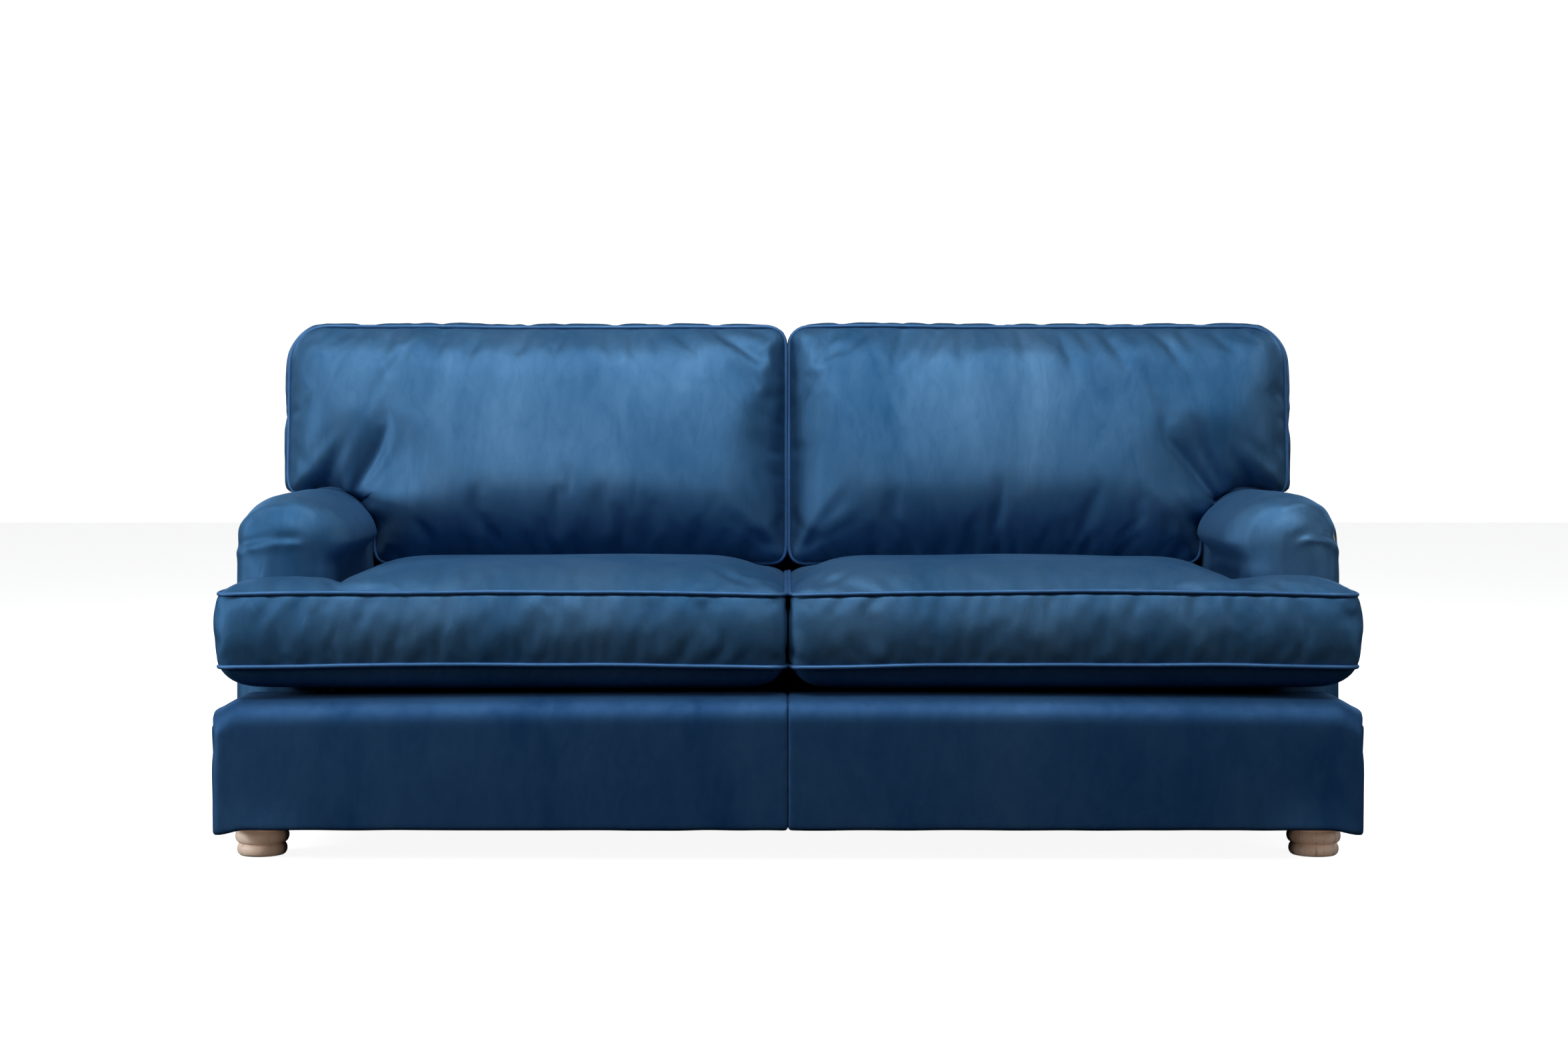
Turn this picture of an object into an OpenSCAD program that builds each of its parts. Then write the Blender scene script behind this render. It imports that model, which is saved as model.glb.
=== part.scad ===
// Three-seat English-arm sofa: a hardwood frame with a zigzag-sprung seat and a webbed back, fixed
// upholstery, four loose piped cushions and four turned wooden feet.
// Millimetres. X runs across the sofa, -Y is its front and +Z is up. The origin is on the floor, under
// the middle of the sofa. Left and right are as seen from the front.

/* [Overall] */
// Width over the arms and the front border
sofa_w = 2030; // [1690:10:2440]
// Depth from the front border to the top of the outside back
sofa_d = 950; // [900:10:1150]
// Height of the arms
arm_h = 640; // [600:1:720]
// Height of the upholstered back, which the loose cushions stand above
back_h = 885; // [800:1:960]
// Height of the tops of the back cushions
cushion_top = 972; // [900:1:1040]
// Lean of the back from upright, in degrees
back_rake = 6; // [3:0.5:9]

/* [Arms and back] */
// Width of an arm over its upholstery
arm_w = 180; // [150:1:230]
// How far the arms stand back from the front border
arm_setback = 155; // [130:1:200]
// Radius of the back's top corners
back_corner_r = 80; // [50:1:120]

/* [Timber] */
// Thickness of the seat rails
rail_t = 25; // [20:1:32]
// Height of the seat rails
rail_h = 175; // [150:1:200]
// Width of a back post
post_w = 60; // [45:1:75]
// Depth of a back post
post_t = 45; // [35:1:60]
// Height of the back's top rail
top_rail_h = 70; // [50:1:100]
// Thickness of the plywood arm boards
arm_board_t = 22; // [18:1:25]
// Height of the inner seat stretchers
stretcher_h = 75; // [60:1:120]
// Height of the tack rails
tack_h = 45; // [35:1:60]
// Width and thickness of the bar along the top of an arm
arm_bar = [80, 25];
// Thickness of the hardboard panels and of the outside back's board
board_t = 3; // [2:0.5:5]
// Length of a corner block's short sides
block_l = 150; // [120:1:180]
// Thickness of a corner block
block_t = 45; // [35:1:60]

/* [Fixed upholstery] */
// Thickness of the velvet with its lining
cloth_t = 2; // [1:0.5:4]
// Padding on the sides, on the arms and round the back
side_pad = 10; // [6:1:20]
// Padding in front of the front rail
border_pad = 20; // [12:1:30]
// Padding on the front of an arm
arm_face_pad = 40; // [25:1:55]
// Padding on the inside back
back_pad_t = 25; // [15:1:40]
// Thickness of the seat deck's pad
deck_pad_t = 53; // [35:1:70]
// How far the front border's crest is under the deck
border_drop = 7; // [0:1:20]
// Radius of the front border's top edge
border_r = 42; // [20:1:60]
// Thickness of the hessian over the springs
hessian_t = 1.5; // [1:0.5:3]
// Thickness of the cloth under the sofa
dust_t = 1; // [0.5:0.5:2]

/* [Springs and webbing] */
// Number of zigzag springs
spring_count = 12; // [8:2:14]
// Number of turns in a spring
spring_turns = 20; // [14:2:24]
// Width of a zigzag spring
spring_w = 56; // [50:1:60]
// Thickness of the spring wire
spring_wire = 3.6; // [3:0.1:4.5]
// Number of webbing straps in the back
strap_count = 12; // [8:2:14]
// Width of a strap
strap_w = 60; // [40:1:70]
// Thickness of a strap
strap_t = 2; // [1:0.5:3]

/* [Feet] */
// Height of the feet, to the underside of the frame
foot_h = 60; // [50:1:120]
// Diameter of the foot's upper bead
foot_d = 96; // [80:1:110]
// Diameter of the foot's lower bead
foot_low_d = 89; // [76:1:104]
// Diameter of the foot's neck, against the frame
foot_neck_d = 92; // [70:1:100]
// Height of the upper bead
foot_bead_h = 24; // [18:1:28]
// Height of the lower bead
foot_low_h = 21; // [16:1:26]
// How far the beads swell beyond the grooves between them
bead_swell = 5; // [3:0.5:7]
// Distance from the outside of the timber frame to a foot's centre, across and along
foot_inset = [60.5, 73];
// Diameter of the hanger bolts
bolt_d = 8; // [6:1:10]
// Thickness of the glides under the feet
glide_t = 3; // [2:0.5:4]

/* [Loose cushions] */
// Height of a seat cushion's boxing between its two seams
seat_border = 127; // [100:1:150]
// How far a seat cushion swells above and below its seams
seat_crown = 43; // [25:1:60]
// Depth of a back cushion's boxing between its two seams
back_border = 127; // [80:1:150]
// How far a back cushion swells in front of its seam
back_crown = 65; // [40:1:90]
// How far a back cushion swells behind its seam
back_crown_rear = 30; // [15:1:40]
// Diameter of the piping
piping_d = 8; // [5:0.5:10]
// Length of a zip
zip_l = 520; // [400:10:640]

/* [Hidden] */
$fn = 32;

// The sofa's outside
half_w = sofa_w / 2;
front = -sofa_d / 2;
rear = sofa_d / 2;
// Upholstery outside the timber at the sides, on the arms and round the back
wrap = side_pad + cloth_t;
frame_half_w = half_w - wrap;
frame_front = front + border_pad + cloth_t;
rail_top = foot_h + rail_h;
hem_z = foot_h - cloth_t;

// Layers of the seat, upwards from the rails
clip_t = 1.2;
clip_play = 0.3;
spring_z = rail_top + clip_t + clip_play;
clip_h = 2 * clip_t + 2 * clip_play + spring_wire;
hessian_z = rail_top + clip_h + 2;
deck_pad_z = hessian_z + hessian_t;
deck_top = deck_pad_z + deck_pad_t + cloth_t;
border_top = deck_top - border_drop;

// Arms
arm_front = front + arm_setback;
arm_in = half_w - arm_w;
arm_x = half_w - arm_w / 2;
arm_board_y = arm_front + arm_face_pad + cloth_t;
seat_half_w = arm_in - 1;
tack_z = deck_top - tack_h + 7;

// Back: depths are measured forwards from the back of the timber, which leans with back_rake
inside_back = post_t + strap_t + back_pad_t + cloth_t;
function rear_y(z) = rear - cloth_t - board_t - (back_h - z) * tan(back_rake);
deck_end = rear_y(rail_top) - post_t - 1;
tuck = 2;

// Feet
foot_x = frame_half_w - foot_inset.x;
foot_front_y = frame_front + foot_inset.y;
foot_back_y = rear_y(foot_h) - foot_inset.y;
glide_proud = 1.5;
glide_r = 12;
glide_pin = [1.2, 12];
bolt_r = bolt_d / 2;
bolt_in_foot = 32;
tee_barrel = [bolt_r + 1, 10];
tee_flange = [bolt_r + 5, 1.5];

// Seat cushions: the main part is between the arms, and the wing is in front of one. wing_lap is how
// far a wing or an ear runs into its main part, and wing_dip is how much less it swells
wing_lap = 230;
wing_dip = 10;
rest_gap = 0.3;
cushion_clear = 1;
beside = cushion_clear + piping_d / 2;
seat_in = (rest_gap + piping_d) / 2;
seat_out = arm_in - beside;
seat_wing = half_w - beside - 2;
seat_front_y = front + 12;
seat_wing_y = arm_front - beside;
seat_rear_y = rear_y(deck_top) - inside_back - 9;
seat_z = deck_top + rest_gap;
seat_top = seat_z + seat_border + 2 * seat_crown;
seat_r = 24;
turn_r = 0.75 * piping_d;
seat_slope = 420;

// Zips
zip_tape = [28, 0.8];
zip_chain = [6, 2];
zip_play = 0.3;
slider = [12, 10, 4.2];
pull = [18, 6, 1];
zip_proud = zip_tape.y + slider.z + pull.z;
zip_slot = 12;
zip_x = (seat_in + seat_out) / 2 - zip_l / 2;
zip_back_y = -back_crown_rear - zip_tape.x / 2 - 8;

// Back cushions: made upright, then leaned on the inside back. They stand on the seat cushions with
// room for their zips and piping underneath: cord_rise lets the rear cord of a back pass that of a
// seat. The ear is above the arm
back_t = back_crown + back_border + back_crown_rear;
back_clear = 2;
lean = [-back_rake, 0, 0];
cord_rise = 1.25 * piping_d - 4;
function seat_top_at(y) =
    seat_top - seat_crown * max(0, y - seat_rear_y + seat_slope) / seat_slope;
lean_y = rear_y(seat_top) - inside_back - back_clear - 3;
back_front_y = lean_y - back_t * cos(back_rake);
back_z = rest_gap + max(zip_proud, cord_rise) + max(
    seat_top_at(back_front_y) - back_t * sin(back_rake),
    seat_top_at(seat_rear_y) - (lean_y - seat_rear_y) * tan(back_rake)
);
back_y = rear_y(back_z) - inside_back - back_clear;
back_cushion_h = (cushion_top - back_z) / cos(back_rake) - back_border * tan(back_rake) - piping_d;
ear_z = (arm_h + beside - back_z) / cos(back_rake);
ear_out = half_w - beside - 2;
ear_r = 75;

// ---- Helpers ----

// Puts what is drawn for the right-hand side on the side asked for
module on_side(side) {
    if (side < 0) mirror([1, 0, 0]) children();
    else children();
}

module both_sides() {
    on_side(1) children();
    on_side(-1) children();
}

// A box from its lowest corner to its highest
module block(low, high) {
    translate(low) cube(high - low);
}

// Extrudes an outline drawn in X and Z from y0 to y1
module along_y(y0, y1) {
    translate([0, y1, 0]) rotate([90, 0, 0]) linear_extrude(y1 - y0) children();
}

// Extrudes an outline drawn in Y and Z from x0 to x1
module along_x(x0, x1) {
    translate([x0, 0, 0]) rotate([90, 0, 90]) linear_extrude(x1 - x0) children();
}

// A layer of the leaning back, between two depths in front of the timber's back
module back_slab(x0, x1, z0, z1, near, far) {
    along_x(x0, x1) polygon([
        [rear_y(z0) - far, z0], [rear_y(z0) - near, z0],
        [rear_y(z1) - near, z1], [rear_y(z1) - far, z1]
    ]);
}

// A bar that runs back from y0 to a depth of the leaning back
module run_back(x0, x1, z0, z1, y0, depth) {
    along_x(x0, x1) polygon([
        [y0, z0], [rear_y(z0) - depth, z0], [rear_y(z1) - depth, z1], [y0, z1]
    ]);
}

// The right arm's section, taken in from the outside by inset, down to z0
module arm_section(inset, z0) {
    r = arm_w / 2 - inset;
    translate([arm_x, arm_h - arm_w / 2]) circle(r);
    translate([arm_x - r, z0]) square([2 * r, arm_h - arm_w / 2 - z0]);
}

// The back's outline from the front, taken in by inset, down to z0
module back_section(inset, z0) {
    w = half_w - inset;
    top = back_h - inset;
    r = back_corner_r - inset;
    translate([-w, z0]) square([2 * w, top - r - z0]);
    translate([r - w, z0]) square([2 * (w - r), top - z0]);
    for (s = [-1, 1]) translate([s * (w - r), top - r]) circle(r);
}

// The front border's profile in Y and Z, taken in by inset, down to z0
module border_section(inset, z0) {
    top = border_top - inset;
    r = border_r - inset;
    translate([front + border_r, top - r]) circle(r);
    translate([front + inset, z0]) square([arm_front - front - inset, top - r - z0]);
    translate([front + border_r, z0]) square([arm_front - front - border_r, top - z0]);
}

// Four upright cylinders at the corners of a box, whose hull is a slab with round corners. far_r is
// the radius of the corner furthest from the middle of the sofa
module posts(box, r, far_r, z0, z1) {
    for (x = [box[0] + r, box[2] - r], y = [box[1] + r, box[3] - r])
        if (x < box[2] - r || y < box[3] - r) translate([x, y, z0]) cylinder(r = r, h = z1 - z0);
    translate([box[2] - far_r, box[3] - far_r, z0]) cylinder(r = far_r, h = z1 - z0);
}

// A crowned cushion, made smaller all round by inset. A box is [x0, y0, x1, y1]: the boxing has the
// outline box between the z of the two seams, and the faces swell to boxes further in. low and high
// are each [z of the face, how far its box is in from the outline's four edges]
module pad(box, seams, low, high, inset, r, far_r) {
    b = box + [inset, inset, -inset, -inset];
    skin = 1;
    hull() {
        posts(b, r, far_r, seams[0], seams[1]);
        posts(b + low[1], r, far_r, low[0] + inset, low[0] + inset + skin);
        posts(b + high[1], r, far_r, high[0] - inset - skin, high[0] - inset);
    }
}

// A closed loop of round cord through points in X and Y, with a radius at each point
module cord_loop(points, radii) {
    n = len(points);
    for (i = [0:n - 1]) {
        p = points[i];
        q = points[(i + 1) % n];
        o = points[(i + n - 1) % n];
        u = (p - o) / norm(p - o);
        v = (q - p) / norm(q - p);
        r = radii[i];
        left_turn = u.x * v.y - u.y * v.x > 0;
        run = norm(q - p) - r - radii[(i + 1) % n];
        turn_from = left_turn ? atan2(-v.y, -v.x) : atan2(u.y, u.x);
        translate(p - u * r + v * r) rotate([0, 0, turn_from])
            rotate_extrude(angle = 90) translate([r, 0]) circle(piping_d / 2);
        translate(p + v * r) rotate([0, 0, atan2(v.y, v.x)]) rotate([0, 90, 0])
            cylinder(r = piping_d / 2, h = run);
    }
}

// ---- Timber frame ----

module front_rail() {
    color("burlywood")
        block([-frame_half_w, frame_front, foot_h], [frame_half_w, frame_front + rail_t, rail_top]);
}

module back_seat_rail() {
    color("burlywood")
        back_slab(post_w - frame_half_w, frame_half_w - post_w, foot_h, rail_top, 0, rail_t);
}

module side_rails() {
    color("burlywood") both_sides()
        run_back(frame_half_w - rail_t, frame_half_w, foot_h, rail_top, frame_front + rail_t, post_t);
}

// Two inner stretchers under the arms' inner edges, and a lower one that ties the rails in the middle
module seat_stretchers() {
    color("burlywood") {
        both_sides() run_back(arm_in + wrap, arm_in + wrap + rail_t, rail_top - stretcher_h, rail_top,
            frame_front + rail_t, rail_t);
        run_back(-rail_t / 2, rail_t / 2, foot_h, rail_top - stretcher_h, frame_front + rail_t, rail_t);
    }
}

// One block in the right front corner of the frame, drilled for its foot's bolt
module corner_block(y_corner, y_way, foot_y) {
    x_corner = frame_half_w - rail_t;
    difference() {
        translate([0, 0, foot_h]) linear_extrude(block_t) polygon([
            [x_corner, y_corner], [x_corner - block_l, y_corner], [x_corner, y_corner + y_way * block_l]
        ]);
        translate([foot_x, foot_y, foot_h - 1]) cylinder(r = tee_barrel[0], h = block_t + 2);
    }
}

module corner_blocks() {
    color("tan") both_sides() {
        corner_block(frame_front + rail_t, 1, foot_front_y);
        corner_block(rear_y(foot_h) - post_t, -1, foot_back_y);
    }
}

// Two screws from each sloping side of a block into each rail beside it
module block_screw(at, way, l) {
    translate(at) rotate([0, 90, way]) {
        cylinder(d = 4.5, h = l);
        cylinder(d = 9, h = 2.5);
    }
}

module screws_of_block(y_corner, y_way) {
    x_corner = frame_half_w - rail_t;
    z = foot_h + block_t / 2;
    bite = 18;
    for (a = [0.66, 0.82] * block_l) {
        deep = block_l - a;
        block_screw([x_corner - a, y_corner + y_way * deep, z], y_way * -90, deep + bite);
        block_screw([x_corner - deep, y_corner + y_way * a, z], 0, deep + bite);
    }
}

module block_screws() {
    color("silver") both_sides() {
        screws_of_block(frame_front + rail_t, 1);
        screws_of_block(rear_y(foot_h) - post_t, -1);
    }
}

// The outer back posts, from the seat frame to the back's rounded top corners
module back_posts() {
    color("burlywood") both_sides() intersection() {
        back_slab(frame_half_w - post_w, frame_half_w, foot_h, back_h, 0, post_t);
        along_y(front, rear) back_section(wrap, foot_h);
    }
}

module back_post_centre() {
    color("burlywood")
        back_slab(-post_w / 2, post_w / 2, rail_top, back_h - wrap - top_rail_h, 0, post_t);
}

module back_top_rail() {
    color("burlywood") intersection() {
        back_slab(post_w - frame_half_w, frame_half_w - post_w,
            back_h - wrap - top_rail_h, back_h - wrap, 0, post_t);
        along_y(front, rear) back_section(wrap, foot_h);
    }
}

// Each arm has a board at its front and another that leans against the back
module arm_boards() {
    color("wheat") both_sides() {
        along_y(arm_board_y, arm_board_y + arm_board_t) arm_section(wrap, rail_top);
        intersection() {
            back_slab(arm_in, half_w, rail_top, arm_h, post_t, post_t + arm_board_t);
            along_y(front, rear) arm_section(wrap, rail_top);
        }
    }
}

// A bar between an arm's two boards
module arm_run(x0, x1, z0, z1) {
    run_back(x0, x1, z0, z1, arm_board_y + arm_board_t, post_t + arm_board_t);
}

module arm_top_bars() {
    z = arm_h - wrap - 1.8 * arm_bar.y;
    color("burlywood") both_sides()
        arm_run(arm_x - arm_bar.x / 2, arm_x + arm_bar.x / 2, z, z + arm_bar.y);
}

// The covers of the inside back and of the arms are pulled under these rails and tacked to them
module tack_rails() {
    z = deck_top + tuck;
    color("burlywood") both_sides() {
        back_slab(post_w / 2, frame_half_w - post_w, z, z + tack_h, post_t - rail_t, post_t);
        arm_run(arm_in + wrap, arm_in + wrap + rail_t, tack_z, tack_z + tack_h);
    }
}

module arm_panels() {
    top = arm_h - arm_w / 2;
    color("peru") both_sides() {
        arm_run(arm_in + wrap, arm_in + wrap + board_t, tack_z + tack_h, top);
        arm_run(frame_half_w - board_t, frame_half_w, rail_top, top);
    }
}

module outside_back_board() {
    color("peru") intersection() {
        back_slab(-frame_half_w, frame_half_w, foot_h, back_h, -board_t, 0);
        along_y(front, rear) back_section(wrap, foot_h);
    }
}

// ---- Springs and webbing ----

spring_y0 = frame_front + rail_t / 2;
spring_y1 = rear_y(rail_top) - rail_t / 2;
spring_pitch = (2 * seat_half_w - spring_w) / spring_count;

// One edge of a zigzag's wire: round turns on alternate sides. side is 1 or -1
function zigzag_edge(turns, step, width, wire, side) = [
    for (i = [0:turns - 1], k = [0:5])
        let (way = i % 2 == 0 ? 1 : -1,
             r = step / 2 + way * side * wire / 2,
             a = -90 + k * 36)
        [way * ((width - step - wire) / 2 + r * cos(a)), (i + 0.5) * step + r * sin(a)]
];

function reversed(list) = [for (i = [len(list) - 1:-1:0]) list[i]];

module zigzag_spring() {
    step = (spring_y1 - spring_y0) / spring_turns;
    leg = step / 3;
    edge = zigzag_edge(spring_turns, step, spring_w, spring_wire, 1);
    other = zigzag_edge(spring_turns, step, spring_w, spring_wire, -1);
    linear_extrude(spring_wire) polygon(concat(
        [[-leg, -spring_wire / 2]], edge, [[leg, edge[len(edge) - 1].y]],
        [[leg, other[len(other) - 1].y]], reversed(other), [[-leg, spring_wire / 2]]
    ));
}

module seat_springs() {
    color("dimgray") for (i = [0:spring_count - 1])
        translate([(i - (spring_count - 1) / 2) * spring_pitch, spring_y0, spring_z]) zigzag_spring();
}

// A folded clip, open towards the seat, that holds a spring's end leg on a rail
module spring_clip() {
    w = 14;
    l = 16;
    lip = 5;
    difference() {
        translate([-w / 2, -lip, 0]) cube([w, l, clip_h]);
        translate([-w, clip_t - lip, clip_t]) cube([2 * w, l, clip_h - 2 * clip_t]);
    }
}

module spring_clips() {
    color("silver") for (i = [0:spring_count - 1]) {
        x = (i - (spring_count - 1) / 2) * spring_pitch;
        translate([x, spring_y0, rail_top]) spring_clip();
        translate([x, spring_y1, rail_top]) mirror([0, 1, 0]) spring_clip();
    }
}

module spring_hessian() {
    color("khaki")
        block([-seat_half_w, frame_front, hessian_z], [seat_half_w, deck_end, hessian_z + hessian_t]);
}

module back_webbing() {
    pitch = (2 * seat_half_w - strap_w) / strap_count;
    color("gainsboro") for (i = [0:strap_count - 1]) {
        x = (i - (strap_count - 1) / 2) * pitch;
        back_slab(x - strap_w / 2, x + strap_w / 2, deck_top + 2 * tuck, back_h - wrap - tuck,
            post_t, post_t + strap_t);
    }
}

// ---- Fixed upholstery ----

module deck_pad() {
    color("lightyellow")
        block([-seat_half_w, arm_front, deck_pad_z], [seat_half_w, deck_end, deck_top - cloth_t]);
}

module deck_cover() {
    color("midnightblue")
        block([-seat_half_w, arm_front, deck_top - cloth_t], [seat_half_w, deck_end, deck_top]);
}

// The inside back is narrow between the arms and full width above them
module inside_back_layer(near, far, inset) {
    low_w = seat_half_w - 1;
    z0 = deck_top + tuck;
    intersection() {
        back_slab(-half_w, half_w, z0 - 1, back_h, near, far);
        along_y(front, rear) {
            back_section(inset, arm_h + tuck);
            translate([-low_w, z0]) square([2 * low_w, arm_h - z0 + 2 * tuck]);
        }
    }
}

module inside_back_pad() {
    color("lightyellow") inside_back_layer(post_t + strap_t, inside_back - cloth_t, wrap);
}

module inside_back_cover() {
    color("steelblue") inside_back_layer(inside_back - cloth_t, inside_back, 0);
}

// A layer round the back's edges: behind the arms it stops at the posts, and above them it reaches
// forwards to the inside back's cover
module back_edge(outer, inner, z0, near, cut_near) {
    difference() {
        intersection() {
            union() {
                back_slab(-half_w, half_w, z0, back_h, near, post_t);
                back_slab(-half_w, half_w, arm_h + tuck, back_h, near, inside_back - cloth_t);
            }
            along_y(front, rear) back_section(outer, z0);
        }
        intersection() {
            back_slab(-half_w, half_w, z0 - 1, back_h, cut_near, 2 * inside_back);
            along_y(front, 2 * rear) back_section(inner, z0 - 1);
        }
    }
}

module back_edge_pad() {
    color("lightyellow") back_edge(cloth_t, wrap, foot_h, -board_t, -board_t - 1);
}

module outside_back_cover() {
    color("steelblue") back_edge(0, cloth_t, hem_z, -board_t - cloth_t, -board_t);
}

// A layer of an arm, between two insets, closed over the arm's front
module arm_layer(side, outer, inner, z0, face_y, cavity_y) {
    on_side(side) difference() {
        along_y(face_y, rear) arm_section(outer, z0);
        along_y(cavity_y, rear + 1) arm_section(inner, z0 - 1);
        block([arm_in - 1, front, 0], [half_w - inner, rear + 1, rail_top]);
        back_slab(arm_in - 1, half_w + 1, 0, back_h, -sofa_d, post_t);
    }
}

module arm_pad(side) {
    color("lightyellow") arm_layer(side, cloth_t, wrap, foot_h, arm_front + cloth_t, arm_board_y);
}

module arm_cover(side) {
    color("steelblue") arm_layer(side, 0, cloth_t, hem_z, arm_front, arm_front + cloth_t);
}

module front_border_pad() {
    w = half_w - cloth_t;
    color("lightyellow") difference() {
        along_x(-w, w) border_section(cloth_t, foot_h);
        block([-frame_half_w, frame_front, foot_h - 1], [frame_half_w, rear, deck_pad_z]);
    }
}

// The border's cover is two panels, sewn together at the middle of the sofa
module border_cover(side) {
    w = half_w - cloth_t;
    color("steelblue") on_side(side) difference() {
        along_x(0, half_w) border_section(0, hem_z);
        along_x(-1, w) border_section(cloth_t, hem_z - 1);
    }
}

module dust_cover() {
    color("dimgray") difference() {
        block([-frame_half_w, frame_front, foot_h - dust_t], [frame_half_w, rear_y(hem_z), foot_h]);
        both_sides() for (y = [foot_front_y, foot_back_y])
            translate([foot_x, y, 0]) cylinder(d = foot_neck_d + 2, h = foot_h + 1);
    }
}

// ---- Feet ----

// A bead of the turning: a disc whose edge is an arc that swells by bead_swell
module bead(d, z0, h) {
    r = (h * h / 4 + bead_swell * bead_swell) / (2 * bead_swell);
    translate([0, z0]) square([d / 2 - bead_swell, h]);
    intersection() {
        translate([d / 2 - r, z0 + h / 2]) circle(r);
        translate([d / 2 - r, z0]) square([r, h]);
    }
}

module foot(side, y) {
    low_z = glide_proud;
    bead_z = low_z + foot_low_h;
    neck_z = bead_z + foot_bead_h;
    color("rosybrown") on_side(side) translate([foot_x, y, 0]) difference() {
        rotate_extrude() {
            bead(foot_low_d, low_z, foot_low_h);
            bead(foot_d, bead_z, foot_bead_h);
            translate([0, neck_z]) square([foot_neck_d / 2, foot_h - neck_z]);
        }
        translate([0, 0, foot_h - bolt_in_foot]) cylinder(r = bolt_r, h = bolt_in_foot + 1);
        cylinder(r = glide_r, h = glide_t);
        cylinder(r = glide_pin[0], h = glide_pin[1]);
    }
}

module at_feet() {
    both_sides() for (y = [foot_front_y, foot_back_y]) translate([foot_x, y, 0]) children();
}

module foot_bolts() {
    up = block_t + 7;
    color("silver") at_feet()
        translate([0, 0, foot_h - bolt_in_foot]) cylinder(r = bolt_r, h = bolt_in_foot + up);
}

module tee_nuts() {
    color("silver") at_feet() translate([0, 0, foot_h + block_t]) difference() {
        union() {
            cylinder(r = tee_flange[0], h = tee_flange[1]);
            translate([0, 0, -tee_barrel[1]]) cylinder(r = tee_barrel[0], h = tee_barrel[1]);
        }
        translate([0, 0, -tee_barrel[1] - 1])
            cylinder(r = bolt_r + 0.05, h = tee_barrel[1] + tee_flange[1] + 2);
    }
}

module foot_glides() {
    color("gray") at_feet() {
        cylinder(r = glide_r, h = glide_t);
        cylinder(r = glide_pin[0], h = glide_pin[1]);
    }
}

// ---- Loose cushions ----

// A seat cushion's solid, taken in by inset. Its top slopes down where the back cushion rests
module seat_solid(inset) {
    seams = [seat_z + seat_crown, seat_z + seat_crown + seat_border];
    pad([seat_in, seat_front_y, seat_out, seat_rear_y], seams,
        [seat_z, [50, 60, -50, -50]], [seat_top, [70, 90, -70, -seat_slope]],
        inset, seat_r, seat_r);
    pad([seat_out - wing_lap, seat_front_y, seat_wing, seat_wing_y], seams,
        [seat_z + wing_dip, [50, 40, -50, -40]], [seat_top - wing_dip, [50, 45, -60, -40]],
        inset, seat_r, seat_r);
}

module seat_cover(side) {
    color("steelblue") on_side(side) difference() {
        seat_solid(0);
        seat_solid(cloth_t);
        at_seat_zip() zip_opening();
    }
}

module seat_core(side) {
    color("lightyellow") on_side(side) seat_solid(cloth_t + 0.5);
}

module seat_piping(side) {
    points = [
        [seat_in, seat_front_y], [seat_wing, seat_front_y], [seat_wing, seat_wing_y],
        [seat_out, seat_wing_y], [seat_out, seat_rear_y], [seat_in, seat_rear_y]
    ];
    radii = [seat_r, seat_r, seat_r, turn_r, seat_r, seat_r];
    seams = [seat_z + seat_crown, seat_z + seat_crown + seat_border];
    color("steelblue") on_side(side) for (z = seams) translate([0, 0, z]) cord_loop(points, radii);
}

// A closed zip along X: its tape lies on z = 0, and its chain stands above it
module zip() {
    translate([0, -zip_tape.x / 2, 0]) cube([zip_l, zip_tape.x, zip_tape.y]);
    translate([0, -zip_chain.x / 2, zip_tape.y]) cube([zip_l, zip_chain.x, zip_chain.y]);
}

// The slot in a cover that its zip closes
module zip_opening() {
    edge = 8;
    translate([edge, -zip_slot / 2, -cloth_t - 1]) cube([zip_l - 2 * edge, zip_slot, cloth_t + 2]);
}

// The slider runs on the chain, and its pull lies flat on it
module zip_slider() {
    inside = [slider.x * 2, zip_chain.x + 2 * zip_play, zip_chain.y + zip_play];
    translate([0, -slider.y / 2, zip_tape.y]) difference() {
        translate([0, 0, zip_play]) cube(slider - [0, 0, zip_play]);
        translate([-1, (slider.y - inside.y) / 2, 0]) cube(inside);
    }
    translate([slider.x / 3, -pull.y / 2, zip_tape.y + slider.z]) cube(pull);
}

// The zips are drawn for the right-hand cushions, in the seat's rear boxing and the back's bottom boxing
module at_seat_zip() {
    z = seat_z + seat_crown + seat_border / 2;
    translate([zip_x, seat_rear_y, z]) rotate([-90, 0, 0]) children();
}

module at_back_zip() {
    in_lean() translate([zip_x, zip_back_y, 0]) rotate([180, 0, 0]) children();
}

module seat_zip(side) {
    color("midnightblue") on_side(side) at_seat_zip() zip();
}

module seat_zip_slider(side) {
    color("silver") on_side(side) at_seat_zip() zip_slider();
}

module back_zip(side) {
    color("midnightblue") on_side(side) at_back_zip() zip();
}

module back_zip_slider(side) {
    color("silver") on_side(side) at_back_zip() zip_slider();
}

// From the back cushion's own upright frame, with Y behind and Z up its face, to its place
module in_lean() {
    translate([0, back_y, back_z]) rotate(lean) children();
}

// Turns an outline in X and Y into one in X and Z, with its thickness towards -Y
module upright() {
    rotate([90, 0, 0]) children();
}

// A back cushion's solid: the main part stands between the arms, and the ear over one
module back_solid(inset) {
    seams = [back_crown_rear, back_crown_rear + back_border];
    in_lean() upright() {
        pad([seat_in, 0, seat_out, back_cushion_h], seams,
            [0, [50, 30, -50, -30]], [back_t, [90, 60, -90, -130]], inset, seat_r, seat_r);
        pad([seat_out - wing_lap, ear_z, ear_out, back_cushion_h], seams,
            [0, [60, 30, -60, -50]], [back_t - wing_dip, [60, 60, -90, -130]],
            inset, seat_r, ear_r);
    }
}

module back_cover(side) {
    color("steelblue") on_side(side) difference() {
        back_solid(0);
        back_solid(cloth_t);
        at_back_zip() zip_opening();
    }
}

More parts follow.
